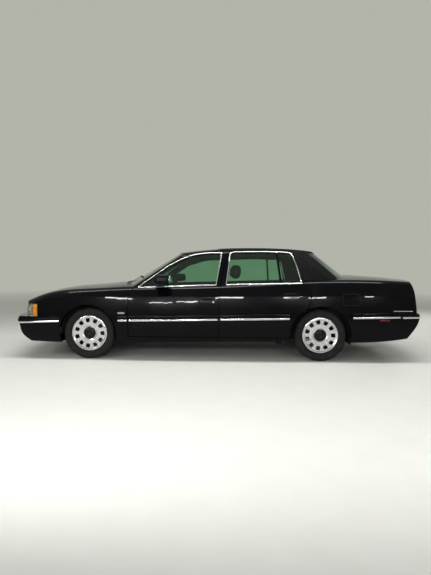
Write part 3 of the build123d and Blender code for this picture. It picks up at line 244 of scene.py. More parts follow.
mottle(hide, "Roughness", 30, 4, 0.36, 0.58)
relief(hide, cells_of(hide, 330), 0.35, 0.0005)
relief(hide, noise_of(hide, 24, 3), 0.2, 0.002)
underbody = finish("underbody", (0.02, 0.02, 0.02), 0.85)
mottle(underbody, "Base Color", 10, 6, (0.012, 0.012, 0.012), (0.04, 0.037, 0.034))
relief(underbody, noise_of(underbody, 200, 5), 0.5, 0.001)
print("finishes:", len(bpy.data.materials))

# %% [markdown]
# Now the finishes go on the CAD parts. Flat-shaded triangles would show on the long curved
# panels, so each part is shaded smooth except across edges sharper than 30 degrees.

# %% Dress the CAD parts
FINISH_OF = {
    black_paint: (
        "bonnet", "boot_lid", "front_wings", "nose_panel", "front_bumper", "rear_bumper", "tail_panel",
        "rear_deck_panel", "body_sides", "roof_panel", "door_front_SIDE", "door_rear_SIDE", "mirror_SIDE",
    ),
    chrome: ("grille",),
    lamp_bowl: ("headlamps",),
    lamp_lens: ("headlamp_lenses",),
    red_lens: ("tail_lamps",),
    tinted_glass: ("door_glass_front_SIDE", "door_glass_rear_SIDE"),
    screen_glass: ("screens",),
    dark_plastic: ("cowl_panel", "dashboard", "steering_wheel"),
    underbody: ("floor_platform", "wheelhouses", "front_subframe", "fuel_tank"),
    iron: ("engine_block", "rear_suspension", "knuckle_SIDE"),
    steel: ("exhaust_system",),
    wheel_alloy: ("wheel_front_SIDE", "wheel_rear_SIDE"),
    roof_vinyl: ("padded_roof",),
    hide: ("front_seats", "rear_seat"),
    rubber: ("tyre_front_SIDE", "tyre_rear_SIDE"),
}
dressed = set()
for material, words in FINISH_OF.items():
    for name in sorted({word.replace("SIDE", side) for word in words for side in ("left", "right")}):
        dressed.add(name)
        mesh = nodes[name].data
        mesh.materials.clear()
        mesh.materials.append(material)
        mesh.shade_smooth()
        mesh.set_sharp_from_angle(angle=math.radians(30))
print("dressed", len(dressed), "nodes; left over:", sorted(set(nodes) - dressed))

# %% [markdown]
# Trim has to follow the panels exactly. A search tree over a few CAD nodes answers one question
# quickly: where does a line from outside first meet the skin, and which way does the skin face
# there? The lines start a few metres out, past the car's side, end or corner. A strip is then a
# small cross-section swept along such points.

# %% Helpers that find the skin and sweep strips
PAST_SIDE, PAST_END, PAST_CORNER = 2, 4, 3


def skin(*names):
    """A search tree over CAD nodes."""
    corners, faces = [], []
    for name in names:
        mesh = nodes[name].data
        base = len(corners)
        corners += [v.co.copy() for v in mesh.vertices]
        faces += [[base + i for i in polygon.vertices] for polygon in mesh.polygons]
    return BVHTree.FromPolygons(corners, faces)


def meet(tree, start, direction):
    """The first point of the skin along a line, with its outward normal."""
    direction = Vector(direction).normalized()
    point, normal, _, _ = tree.ray_cast(Vector(start), direction)
    if point is None:
        return None
    return point, (-normal if normal.dot(direction) > 0 else normal)


def met(hits):
    """The hits without the lines that missed."""
    return [hit for hit in hits if hit]


def from_left(tree, x, z):
    return meet(tree, (x, -PAST_SIDE, z), (0, 1, 0))


def from_above(tree, x, y):
    return meet(tree, (x, y, PAST_SIDE), (0, 0, -1))


def from_front(tree, y, z):
    return meet(tree, (-PAST_END, y, z), (1, 0, 0))


def from_behind(tree, y, z):
    return meet(tree, (PAST_END, y, z), (-1, 0, 0))


def side_path(tree, corners, step=0.02):
    """Points on the left side along a line of (x, z) corners, evenly spaced."""
    hits = []
    for (x0, z0), (x1, z1) in zip(corners, corners[1:]):
        count = max(2, int(math.hypot(x1 - x0, z1 - z0) / step))
        for i in range(count + (corners[-1] == (x1, z1))):
            t = i / count
            hits.append(from_left(tree, x0 + (x1 - x0) * t, z0 + (z1 - z0) * t))
    return met(hits)


def curved(corners, cut_length=0.06, rounds=2):
    """Round a line of (x, z) corners by cutting them, and keep the ends."""
    points = [Vector(c) for c in corners]
    for _ in range(rounds):
        cut = [points[0]]
        for a, b in zip(points, points[1:]):
            reach = min(0.25, cut_length / max((b - a).length, 1e-6))
            cut += [a.lerp(b, reach), b.lerp(a, reach)]
        points = cut + [points[-1]]
    return [tuple(p) for p in points]


def evened(path, rounds=6):
    """The path with small kinks taken out: each pull inwards is followed by a push outwards."""
    points = np.array([p for p, _ in path])
    normals = np.array([n for _, n in path])
    for number in range(2 * rounds):
        pull = 0.5 if number % 2 == 0 else -0.52
        points[1:-1] += pull * ((points[:-2] + points[2:]) / 2 - points[1:-1])
        normals[1:-1] += 0.5 * ((normals[:-2] + normals[2:]) / 2 - normals[1:-1])
    return [(Vector(p), Vector(n).normalized()) for p, n in zip(points, normals)]


def placed(name, data):
    """An object for a mesh, a lamp or a camera, linked to the scene."""
    piece = bpy.data.objects.new(name, data)
    bpy.context.scene.collection.objects.link(piece)
    return piece


def from_shape(name, shape, material=None, sharp=45):
    """A piece from a bmesh. Edges that turn more than sharp degrees stay crisp."""
    mesh = bpy.data.meshes.new(name)
    shape.to_mesh(mesh)
    shape.free()
    if material:
        mesh.materials.append(material)
        mesh.shade_smooth()
        mesh.set_sharp_from_angle(angle=math.radians(sharp))
    return placed(name, mesh)


def new_piece(name, corners, faces, material):
    """A piece from points and faces, with every face turned outwards."""
    draft = bpy.data.meshes.new("draft")
    draft.from_pydata([tuple(c) for c in corners], [], faces)
    draft.validate()
    shape = bmesh.new()
    shape.from_mesh(draft)
    bpy.data.meshes.remove(draft)
    bmesh.ops.recalc_face_normals(shape, faces=shape.faces)
    return from_shape(name, shape, material)


def grid_faces(rows, count, ring_rows=False, ring_count=False):
    """Four-sided faces between rows of points. Rows, or the points in one, may close to a ring."""
    faces = []
    for i in range(rows if ring_rows else rows - 1):
        step = ((i + 1) % rows - i) * count
        for k in range(count if ring_count else count - 1):
            a, b = i * count + k, i * count + (k + 1) % count
            faces.append((a, b, b + step, a + step))
    return faces


def squashed(value, power):
    """A sine or cosine bent towards a square, when power is less than 1."""
    return math.copysign(abs(value) ** power, value)


def strip(name, path, width, height, material, square=0.7, sink=0.0008, arc=10):
    """Sweep a half-round section along points on the skin: square near 0 is boxy, 1 is round."""
    path = evened(path)
    corners = []
    ring = arc + 1
    for i, (point, normal) in enumerate(path):
        ahead = path[min(i + 1, len(path) - 1)][0] - path[max(i - 1, 0)][0]
        across = normal.cross(ahead).normalized()
        for k in range(ring):
            turn = math.pi * k / arc
            side = squashed(math.cos(turn), square) * width / 2
            rise = abs(math.sin(turn)) ** square * height - sink
            corners.append(point + across * side + normal * rise)
    ends = [tuple(range(ring)), tuple(range(len(corners) - ring, len(corners)))]
    return new_piece(name, corners, grid_faces(len(path), ring, ring_count=True) + ends, material)


def flipped(piece, name):
    """The same piece on the other side of the car."""
    mesh = piece.data.copy()
    mesh.transform(Matrix.Diagonal((1, -1, 1, 1)))
    mesh.flip_normals()
    return placed(name, mesh)


def settle(piece, body):
    """Fix a piece to the body that carries it."""
    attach(piece, body)
    return piece


def on_both_sides(piece, body):
    """Fix a left-hand piece and its twin to their bodies. body may hold the word SIDE."""
    twin = flipped(piece, piece.name.replace("left", "right"))
    settle(piece, body.replace("SIDE", "left"))
    settle(twin, body.replace("SIDE", "right"))


# %% [markdown]
# Along the flanks runs a body-coloured rubbing strip with a bright insert in its lower half. It
# is cut at every shut line, so each door carries its own length and opens with it.

# %% Rubbing strips
BAND_X = {
    "wing": (-1.207, -1.094, "front_wings", "root"),
    "front_door": (-1.074, 0.028, "door_front_left", "door_front_SIDE"),
    "rear_door": (0.052, 0.905, "door_rear_left", "door_rear_SIDE"),
    "quarter": (1.668, 2.254, "body_sides", "root"),
}
BAND_MID_Z, BAND_SLOPE = 0.519, 0.0195
BAND_WIDTH, BAND_HEIGHT, BAND_ABOVE = 0.07, 0.011, 0.022
INSERT_WIDTH, INSERT_HEIGHT, INSERT_LIFT, INSERT_INSET = 0.02, 0.0045, 0.0095, 0.004


def band_z(x):
    """Height of the bright insert's middle."""
    return BAND_MID_Z + BAND_SLOPE * x


for word, (x0, x1, node, body) in BAND_X.items():
    tree = skin(node)
    path = side_path(tree, [(x0, band_z(x0) + BAND_ABOVE), (x1, band_z(x1) + BAND_ABOVE)])
    band = strip(f"rubbing_strip_{word}_left", path, BAND_WIDTH, BAND_HEIGHT, black_paint, 0.45)
    line = [(x0 + INSERT_INSET, band_z(x0)), (x1 - INSERT_INSET, band_z(x1))]
    path = [(p + n * INSERT_LIFT, n) for p, n in side_path(tree, line)]
    insert = strip(f"bright_insert_{word}_left", path, INSERT_WIDTH, INSERT_HEIGHT, chrome, 0.8)
    on_both_sides(band, body)
    on_both_sides(insert, body)
    print("strip", word, "points", len(path))

# %% [markdown]
# On the bumpers the same bright line wraps round the corners in one sweep. The points come from
# casting lines inwards from all round, at the height of the line.

# %% Bumper lines
def wrapped(tree, centre_x, turns, height_at):
    """Points on the skin all round a corner, cast towards an upright axis on the centre line."""
    found = []
    for turn in turns:
        away = Vector((math.cos(turn), math.sin(turn), 0))
        start = Vector((centre_x, 0, height_at(centre_x + away.x))) + away * PAST_CORNER
        hit = meet(tree, start, -away)
        if hit:
            start.z = height_at(hit[0].x)
            hit = meet(tree, start, -away)
        found.append(hit)
    return met(found)


BUMPERS = {
    "front": dict(centre_x=-1.962, start=270.5, sweep=-181, foot_x=-1.947, foot_z=0.479, slope=0.046),
    "rear": dict(centre_x=2.275, start=-89.5, sweep=179, foot_x=0.0, foot_z=0.5595, slope=0.0),
}
BUMPER_STEPS, PAD_ABOVE = 160, 0.026
for word, at in BUMPERS.items():
    tree = skin(f"{word}_bumper")
    steps = range(BUMPER_STEPS + 1)
    turns = [math.radians(at["start"] + at["sweep"] * i / BUMPER_STEPS) for i in steps]
    for kind, above, width, height, material, square, slot in (
        ("line", 0.0, 0.022, 0.006, chrome, 0.8, "chrome"),
        ("pad", PAD_ABOVE, 0.03, 0.008, black_paint, 0.5, "paint"),
    ):
        path = wrapped(tree, at["centre_x"], turns, lambda x: (
            at["foot_z"] + at["slope"] * (x - at["foot_x"]) + above
        ))
        settle(strip(f"bumper_{kind}_{word}", path, width, height, material, square), "root")
    print("bumper", word, "points", len(path))

# %% [markdown]
# The side windows are edged in bright metal. On the front door it starts at the foot of the
# windscreen pillar, follows the door's outer edge over the top and comes down the pillar
# between the doors. The rear door has its own loop, and both have a bright sill at the belt.

# %% Window surrounds
FRONT_SURROUND = (
    (-0.978, 0.912), (-0.784, 1.046), (-0.583, 1.198), (-0.344, 1.312), (-0.151, 1.349), (0.062, 1.352),
    (0.064, 1.323), (0.0, 0.944),
)
REAR_SURROUND = (
    (0.126, 0.95), (0.165, 1.25), (0.171, 1.31), (0.18, 1.342), (0.198, 1.3575), (0.24, 1.365),
    (0.558, 1.371), (0.885, 1.367), (0.955, 1.346),
    (0.977, 1.287), (1.023, 1.161), (1.062, 0.976),
)
FRONT_SILL = ((-0.972, 0.905), (-0.702, 0.914), (-0.388, 0.927), (0.002, 0.939))
REAR_SILL = ((0.124, 0.945), (0.546, 0.958), (1.064, 0.97))
front_door_skin = skin("door_front_left")
rear_door_skin = skin("door_rear_left")
for name, tree, corners, width, body in (
    ("surround_front_left", front_door_skin, curved(FRONT_SURROUND), 0.011, "door_front_SIDE"),
    ("surround_rear_left", rear_door_skin, curved(REAR_SURROUND), 0.011, "door_rear_SIDE"),
    ("belt_sill_front_left", front_door_skin, FRONT_SILL, 0.014, "door_front_SIDE"),
    ("belt_sill_rear_left", rear_door_skin, REAR_SILL, 0.014, "door_rear_SIDE"),
):
    path = side_path(tree, corners, 0.012)
    on_both_sides(strip(name, path, width, 0.005, chrome, 0.8), body)
    print(name, "points", len(path))

# %% [markdown]
# Each door has a pull handle in a shallow dish. The dish is a thin dark patch laid on the skin,
# and the handle is a bar that bridges it. The patch helper draws a rounded rectangle as rings
# that shrink towards the middle, so its edge stays clean.

# %% Door handles
PATCH_SINK = 0.0005


def rounded_ring(size, power, around):
    """Offsets round a rectangle with rounded corners, from its middle."""
    turns = [2 * math.pi * k / around for k in range(around)]
    return [
        (squashed(math.cos(t), power) * size[0] / 2, squashed(math.sin(t), power) * size[1] / 2)
        for t in turns
    ]


def patch(name, tree, centre, size, lift, material, corner=3.2, rings=6, around=48):
    """A rounded rectangle laid on the left side's skin, raised by lift."""
    rim, corners = [], []
    for r in range(rings + 1):
        share = 1 - r / rings
        for across, rise in rounded_ring(size, 2 / corner, around):
            point, normal = from_left(tree, centre[0] + across * share, centre[1] + rise * share)
            if r == 0:
                rim.append(point - normal * PATCH_SINK)
            corners.append(point + normal * lift)
    return new_piece(name, rim + corners, grid_faces(rings + 2, around, ring_count=True), material)


HANDLES = (
    ("front", front_door_skin, (-0.098, 0.757), "door_front_SIDE"),
    ("rear", rear_door_skin, (0.922, 0.815), "door_rear_SIDE"),
)
DISH_SIZE, GRIP_HALF, GRIP_ABOVE, GRIP_LIFT = (0.2, 0.072), 0.088, 0.014, 0.012
for word, tree, (x, z), body in HANDLES:
    dish = patch(f"handle_dish_{word}_left", tree, (x, z), DISH_SIZE, 0.001, gloss_plastic)
    on_both_sides(dish, body)
    path = side_path(tree, [(x - GRIP_HALF, z + GRIP_ABOVE), (x + GRIP_HALF, z + GRIP_ABOVE)], 0.008)
    lifted = []
    for i, (point, normal) in enumerate(path):
        t = i / (len(path) - 1)
        lifted.append((point + normal * GRIP_LIFT * min(1.0, 5 * t, 5 * (1 - t)), normal))
    grip = strip(f"handle_grip_{word}_left", lifted, 0.026, 0.013, black_paint, 0.6, sink=0.004)
    on_both_sides(grip, body)
lock = patch("door_lock_left", front_door_skin, (-0.03, 0.735), (0.02, 0.02), 0.002, chrome, 2, 3)
on_both_sides(lock, "door_front_SIDE")
print("handles:", len(HANDLES), "each side")

# %% [markdown]
# On the left rear quarter is the fuel filler's door. It sits almost flush, so what shows is its
# dark gap. A dim red marker lies under the bright strip of each quarter, a thin moulding runs
# above the bumper, and behind each front wheel is a small bright plaque, left blank here.

# %% Fuel door, markers and plaques
quarter_skin = skin("body_sides")
FUEL_DOOR = (1.656, 0.776)
gap = patch("fuel_door_gap_left", quarter_skin, FUEL_DOOR, (0.208, 0.148), 0.0006, rubber, 6)
settle(gap, "root")
flap = patch("fuel_door_left", quarter_skin, FUEL_DOOR, (0.2, 0.14), 0.0016, black_paint, 6)
settle(flap, "root")
marker = patch("red_marker_left", quarter_skin, (2.06, 0.528), (0.13, 0.022), 0.004, red_lens, 6)
on_both_sides(marker, "root")
line = side_path(quarter_skin, [(2.17, 0.639), (2.41, 0.639)])
on_both_sides(strip("quarter_moulding_left", line, 0.009, 0.004, chrome, 0.8), "root")
wing_skin = skin("front_wings")
plaque = patch("blank_plaque_left", wing_skin, (-1.168, 0.59), (0.087, 0.022), 0.003, chrome, 5)
on_both_sides(plaque, "root")
print("moulding points", len(line))

# %% [markdown]
# The tyre is one plain ring in the CAD. The real one has grooves round the tread, cut
# shoulders, a raised rim guard and fine ribs on its side. One profile, turned about the axle,
# gives all of them, and every fourth slice is let in at the shoulders to make the blocks.

# %% Tyres
AXLE_Z, HALF_TRACK = 0.325, 0.7735
AXLE_X = {"front": -1.593, "rear": 1.298}
TYRE_PROFILE = (
    (0.2075, 0.078), (0.2215, 0.0865), (0.226, 0.094), (0.236, 0.0965), (0.238, 0.1035), (0.244, 0.1045),
    (0.2455, 0.1065), (0.2535, 0.1085), (0.2545, 0.1105), (0.2585, 0.1105), (0.2595, 0.1095),
    (0.273, 0.112), (0.2885, 0.111), (0.2895, 0.1095), (0.2925, 0.1095), (0.2935, 0.1105),
    (0.305, 0.106), (0.3145, 0.0985), (0.3205, 0.09), (0.3235, 0.079), (0.3245, 0.066), (0.318, 0.064),
    (0.318, 0.057), (0.3248, 0.055), (0.325, 0.024), (0.3182, 0.022), (0.3182, 0.013), (0.325, 0.011),
    (0.325, 0.0),
)
SHOULDER, SHOULDER_CUT = range(17, 21), 0.004
TYRE_SLICES = 192
SIDES = (("left", -1), ("right", 1))
CORNERS_OF_CAR = [(axle, x, word, side) for axle, x in AXLE_X.items() for word, side in SIDES]
tyre_profile = list(TYRE_PROFILE) + [(r, -w) for r, w in reversed(TYRE_PROFILE[:-1])]
last = len(tyre_profile) - 1
both_shoulders = {i for k in SHOULDER for i in (k, last - k)}


def turned(name, profile, place, material, slices, closed=False, cut_in=()):
    """Turn (radius, depth) points about place's Y axis. Every fourth slice is let in at cut_in."""
    corners = []
    for s in range(slices):
        turn = 2 * math.pi * s / slices
        for k, (radius, depth) in enumerate(profile):
            if k in cut_in and s % 4 == 0:
                radius -= SHOULDER_CUT
            corners.append(place @ Vector((radius * math.cos(turn), depth, radius * math.sin(turn))))
    return new_piece(name, corners, grid_faces(slices, len(profile), True, closed), material)


for axle, x, word, side in CORNERS_OF_CAR:
    hub = Matrix.Translation((x, side * HALF_TRACK, AXLE_Z))
    name = f"ribbed_tyre_{axle}_{word}"
    tyre = turned(name, tyre_profile, hub, rubber, TYRE_SLICES, True, both_shoulders)
    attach(tyre, f"wheel_{axle}_{word}")
    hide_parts(f"tyre_{axle}_{word}")
print("tyre faces:", TYRE_SLICES * len(tyre_profile))

# %% [markdown]
# The wheel's middle is a round black cap with rings moulded in it. A turned profile lies on the
# wheel's own hub: a ray at each radius finds the metal, and the cap stands a little proud of it.
# A thin bright ring is turned the same way along the flange, where the polished lip shows.

# %% Wheel caps and lips
CAP_LIFT = (
    (0.0, 0.0035), (0.012, 0.0035), (0.015, 0.0015), (0.019, 0.0015), (0.022, 0.0035), (0.05, 0.0035),
    (0.053, 0.0018), (0.057, 0.0018), (0.06, 0.0035), (0.072, 0.0035), (0.0745, 0.0018), (0.0765, 0.0005),
)
LIP_LIFT = ((0.2145, 0.0004), (0.2155, 0.0016), (0.2185, 0.0016), (0.2195, 0.0004))


def on_wheel(wheel, x, side, lifts):
    """A profile whose depth is read from the CAD wheel, plus a lift."""
    tree = skin(wheel)
    profile = []
    for radius, lift in lifts:
        hit = meet(tree, (x + 0.0003, side * 2, AXLE_Z + max(radius, 0.001)), (0, -side, 0))
        profile.append((radius, hit[0].y + side * lift))
    return profile


WHEEL_TRIM = (
    ("cap", CAP_LIFT, gloss_plastic, 72, "dark_plastic"),
    ("lip", LIP_LIFT, chrome, 96, "chrome"),
)
for axle, x, word, side in CORNERS_OF_CAR:
    wheel = f"wheel_{axle}_{word}"
    axle_line = Matrix.Translation((x, 0, AXLE_Z))
    for kind, lifts, material, slices, slot in WHEEL_TRIM:
        profile = on_wheel(wheel, x, side, lifts)
        trim = turned(f"wheel_{kind}_{axle}_{word}", profile, axle_line, material, slices)
        settle(trim, wheel)
    print(wheel, "cap depth", round(profile[0][1], 4))

# %% [markdown]
# The padded roof is soft, so the plain CAD sheet doesn't show. A voxel remesh would chew up such
# a thin sheet, so a copy is sliced by planes into small faces instead. Then its edges relax, as
# foam does under stretched vinyl, and Data Transfer brings the exact normals over from the CAD
# skin, so that the broad faces stay smooth. The vinyl is stretched tight: no cloth has to fall.

# %% Padded roof
def shaped_by(piece, kind, **values):
    """Add a modifier and apply it at once."""
    modifier = piece.modifiers.new(kind.lower(), kind)
    for key, value in values.items():
        setattr(modifier, key, value)
    depsgraph = bpy.context.evaluated_depsgraph_get()
    mesh = bpy.data.meshes.new_from_object(piece.evaluated_get(depsgraph))
    piece.modifiers.clear()
    old = piece.data
    piece.data = mesh
    bpy.data.meshes.remove(old)
    return piece


def sliced_copy(name, node, step):
    """A copy of a CAD mesh, welded and cut by planes so that no face is much longer than step."""
    shape = bmesh.new()
    shape.from_mesh(nodes[node].data)
    bmesh.ops.remove_doubles(shape, verts=shape.verts, dist=0.00002)
    for axis in range(3):
        reach = [v.co[axis] for v in shape.verts]
        count = int((max(reach) - min(reach)) / step)
        across = Vector([float(axis == k) for k in range(3)])
        for i in range(1, count):
            at = across * (min(reach) + (max(reach) - min(reach)) * i / count)
            everything = shape.verts[:] + shape.edges[:] + shape.faces[:]
            bmesh.ops.bisect_plane(shape, geom=everything, plane_co=at, plane_no=across)
    return from_shape(name, shape)


ROOF_STEP = 0.035
roof = sliced_copy("padded_vinyl_roof", "padded_roof", ROOF_STEP)
shaped_by(roof, "SMOOTH", factor=0.5, iterations=3)
roof.data.materials.clear()
roof.data.materials.append(roof_vinyl)
roof.data.shade_smooth()
shaped_by(
    roof, "DATA_TRANSFER", object=nodes["padded_roof"], use_loop_data=True,
    data_types_loops={"CUSTOM_NORMAL"}, loop_mapping="POLYINTERP_NEAREST",
)
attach(roof, "root")
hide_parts("padded_roof")
print("padded roof faces:", len(roof.data.polygons))

# %% [markdown]
# Two sewn welts run along the roof, and a slim band hides the front edge of the vinyl, where
# the padded half meets the painted half.

# %% Roof welts and band
roof_tree = skin("padded_roof", "roof_panel")


def onto_roof(x, degrees):
    """The roof's point at one station, cast towards an axis inside the cabin."""
    away = Vector((0, math.sin(math.radians(degrees)), math.cos(math.radians(degrees))))
    return meet(roof_tree, Vector((x, 0, 0.75)) + away * 2, -away)


ROOF_BAND_X, BAND_REACH, BAND_STEPS = 0.016, 46.5, 90
degrees = [BAND_REACH * (2 * i / BAND_STEPS - 1) for i in range(BAND_STEPS + 1)]
band = met([onto_roof(ROOF_BAND_X, d) for d in degrees])
settle(strip("roof_band", band, 0.03, 0.004, gloss_plastic, 0.6), "root")
WELT_FROM, WELT_TO, WELT_Y, WELT_TAPER, WELT_POINTS = 0.035, 1.175, 0.47, 0.02, 90
stations = [WELT_FROM + (WELT_TO - WELT_FROM) * i / (WELT_POINTS - 1) for i in range(WELT_POINTS)]
for word, side in SIDES:
    line = met([from_above(roof_tree, x, side * (WELT_Y - WELT_TAPER * x)) for x in stations])
    settle(strip(f"roof_welt_{word}", line, 0.009, 0.0035, roof_vinyl, 1.0), "root")
print("roof band points", len(band))

# %% [markdown]
# The seats are stuffed hide. Each cushion starts as a rounded block, is remeshed to an even
# grid and is blown up a little by a cloth simulation, which pulls its sides in between the
# corners. How far a point may move is capped, so that it still sits where the CAD seat was.

# %% Cushions
def rounded_block(name, size, place, radius=0.06):
    """A box with rounded edges, about its own middle, then put in place."""
    shape = bmesh.new()
    bmesh.ops.create_cube(shape, size=1.0)
    bmesh.ops.scale(shape, vec=size, verts=shape.verts)
    bmesh.ops.bevel(
        shape, geom=shape.edges[:], offset=min(radius, min(size) * 0.42), segments=4, profile=0.5,
        affect="EDGES",
    )
    shape.transform(place)
    return from_shape(name, shape)


def stuffed(piece, voxel=0.016, pressure=4.0, most=0.012, frames=14):
    """Blow a closed piece up with cloth, but let no point move further than most."""
    shaped_by(piece, "REMESH", mode="VOXEL", voxel_size=voxel)
    before = np.array([v.co for v in piece.data.vertices])
    cloth = piece.modifiers.new("cloth", "CLOTH")
    cloth.settings.use_pressure = True
    cloth.settings.uniform_pressure_force = pressure
    cloth.settings.effector_weights.gravity = 0
    cloth.point_cache.frame_start, cloth.point_cache.frame_end = 1, frames
    scene = bpy.context.scene
    for number in range(1, frames + 1):
        scene.frame_set(number)
    depsgraph = bpy.context.evaluated_depsgraph_get()
    blown = piece.evaluated_get(depsgraph).to_mesh()
    after = np.array([v.co for v in blown.vertices])
    piece.modifiers.clear()
    scene.frame_set(1)
    moved = after - before
    length = np.linalg.norm(moved, axis=1, keepdims=True)
    moved *= np.minimum(1.0, most / np.maximum(length, 1e-9))
    for vertex, place in zip(piece.data.vertices, before + moved):
        vertex.co = place
    shaped_by(piece, "SMOOTH", factor=0.5, iterations=2)
    shaped_by(piece, "SUBSURF", levels=1)
    piece.data.materials.clear()
    piece.data.materials.append(hide)
    piece.data.shade_smooth()
    return piece


def leaning(centre, degrees_back):
    return Matrix.Translation(centre) @ Matrix.Rotation(math.radians(degrees_back), 4, "Y")


SEAT_PARTS = {
    "front_seat_cushion_left": ((0.53, 0.5, 0.19), leaning((-0.135, -0.375, 0.402), 0)),
    "front_seat_back_left": ((0.15, 0.49, 0.5), leaning((0.203, -0.375, 0.655), 17)),
    "front_seat_head_left": ((0.142, 0.27, 0.185), leaning((0.25, -0.375, 1.105), 8)),
}
frame_count = 14
front_parts = []
for name, (size, place) in SEAT_PARTS.items():
    part = stuffed(rounded_block(name, size, place), frames=frame_count)
    twin = flipped(part, name.replace("left", "right"))
    front_parts += [part, twin]
    print(name, "faces", len(part.data.polygons))
rear_parts = [
    stuffed(rounded_block("rear_seat_cushion", (0.5, 1.15, 0.19), leaning((0.86, 0, 0.452), 0)), 0.02),
    stuffed(rounded_block("rear_seat_back", (0.13, 1.15, 0.52), leaning((1.165, 0, 0.67), 15)), 0.02),
]
for part in front_parts + rear_parts:
    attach(part, "root")
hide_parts("front_seats")
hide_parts("rear_seat")

# %% [markdown]
# The door mirrors need their silvered glass, on the housing's rear face, and the windscreen
# needs its two wipers, parked along its foot.

# %% Mirror glass and wipers
def plate(name, centre, size, material, around=40, depth=0.003, square=0.55):
    """A rounded plate that faces along the car, such as the glass of a mirror."""
    corners = []
    for x in (centre[0], centre[0] + depth):
        corners += [(x, centre[1] + y, centre[2] + z) for y, z in rounded_ring(size, square, around)]
    ends = [tuple(range(around)), tuple(range(around, 2 * around))]
    return new_piece(name, corners, ends + grid_faces(2, around, ring_count=True), material)


MIRROR_WIDTH, GLASS_SIZE, GLASS_SINK = 0.18, (0.145, 0.09), 0.001
low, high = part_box("mirror_left")
glass_at = (high.x - GLASS_SINK, low.y + MIRROR_WIDTH / 2, (low.z + high.z) / 2)
glass = plate("mirror_glass_left", glass_at, GLASS_SIZE, mirror_glass)
on_both_sides(glass, "door_front_SIDE")

screen_tree = skin("screens", "cowl_panel")


FOOT_X, FOOT_BOW = -1.162, 3.2


def foot_x(y):
    """The windscreen's foot bows back towards the sides."""
    return FOOT_X + y * y / FOOT_BOW


BLADE_LENGTH, BLADE_POINTS, BLADE_ABOVE_FOOT, BLADE_LIFT = 0.52, 40, 0.085, 0.004
ARM_LENGTH, ARM_POINTS, ARM_BELOW_FOOT, ARM_LIFT = 0.26, 24, 0.02, Vector((0, 0, 0.014))
for word, blade_y, pivot in (("left", -0.62, -0.46), ("right", 0.02, 0.18)):
    ys = [blade_y + BLADE_LENGTH * i / (BLADE_POINTS - 1) for i in range(BLADE_POINTS)]
    hits = met([from_above(screen_tree, foot_x(y) + BLADE_ABOVE_FOOT, y) for y in ys])
    blade = [(point + normal * BLADE_LIFT, normal) for point, normal in hits]
    piece = strip(f"wiper_blade_{word}", blade, 0.012, 0.014, rubber, 0.8, sink=0.002)
    settle(piece, "root")
    tip = pivot + ARM_LENGTH
    start = Vector((foot_x(pivot) - ARM_BELOW_FOOT, pivot))
    end = Vector((foot_x(tip) + BLADE_ABOVE_FOOT, tip))
    along = [start.lerp(end, i / (ARM_POINTS - 1)) for i in range(ARM_POINTS)]
    hits = met([from_above(screen_tree, x, y) for x, y in along])
    arm = [(point + ARM_LIFT, normal) for point, normal in hits]
    piece = strip(f"wiper_arm_{word}", arm, 0.014, 0.008, dark_plastic, 0.7, sink=0.004)
    settle(piece, "root")
    print("wiper", word, len(blade), len(arm))

# %% [markdown]
# Behind each headlamp's lens are two round reflectors with a bulb, and an amber block for the
# turn signal at the outer end. The reflectors are turned like the tyres, with the axis swapped
# so that it runs along the car.

# %% Headlamp insides
AXIS_ALONG_CAR = Matrix(((0, 1, 0, 0), (1, 0, 0, 0), (0, 0, 1, 0), (0, 0, 0, 1)))
LAMP_Z, REFLECTOR_Y, BEHIND_LENS = 0.612, (-0.53, -0.665), 0.012
BOWL = (
    (0.056, 0.0), (0.054, 0.002), (0.05, 0.008), (0.04, 0.02), (0.026, 0.03), (0.012, 0.035),
    (0.001, 0.036),
)
BULB = (
    (0.001, -0.002), (0.007, 0.0), (0.0095, 0.006), (0.0095, 0.026), (0.006, 0.033), (0.001, 0.034),
)
lens_tree = skin("headlamp_lenses")
for number, y in enumerate(REFLECTOR_Y):
    hit = from_front(lens_tree, y, LAMP_Z)
    place = Matrix.Translation(hit[0] + Vector((BEHIND_LENS, 0, 0))) @ AXIS_ALONG_CAR
    for word, profile, material in (("reflector", BOWL, lamp_bowl), ("bulb", BULB, chrome)):
        part = turned(f"{word}_{number}_left", profile, place, material, 40)
        on_both_sides(part, "root")
SIGNAL_X, SIGNAL_LENGTH, SIGNAL_STEPS = -2.292, 0.05, 12
SIGNAL_HEIGHT, SIGNAL_SINK = 0.136, 0.0125
stations = [SIGNAL_X + SIGNAL_LENGTH * i / SIGNAL_STEPS for i in range(SIGNAL_STEPS + 1)]
hits = [from_left(lens_tree, x, LAMP_Z) for x in stations]
amber = [(point - normal * SIGNAL_SINK, normal) for point, normal in hits]
signal = strip("turn_signal_left", amber, SIGNAL_HEIGHT, 0.004, amber_lens, 0.3, sink=0.0)
on_both_sides(signal, "root")
print("reflectors each side:", len(REFLECTOR_Y))

# %% [markdown]
# The lens is fluted: upright ribs spread the light. Each rib is a thin half-round strip on the
# lens, across the front and round the corner, and all of them are joined into one mesh.

# %% Lens flutes
def joined(name, pieces):
    """Several pieces as one mesh."""
    shape = bmesh.new()
    for piece in pieces:
        shape.from_mesh(piece.data)
    material = pieces[0].data.materials[0]
    for piece in pieces:
        bpy.data.objects.remove(piece)
    return from_shape(name, shape, material)


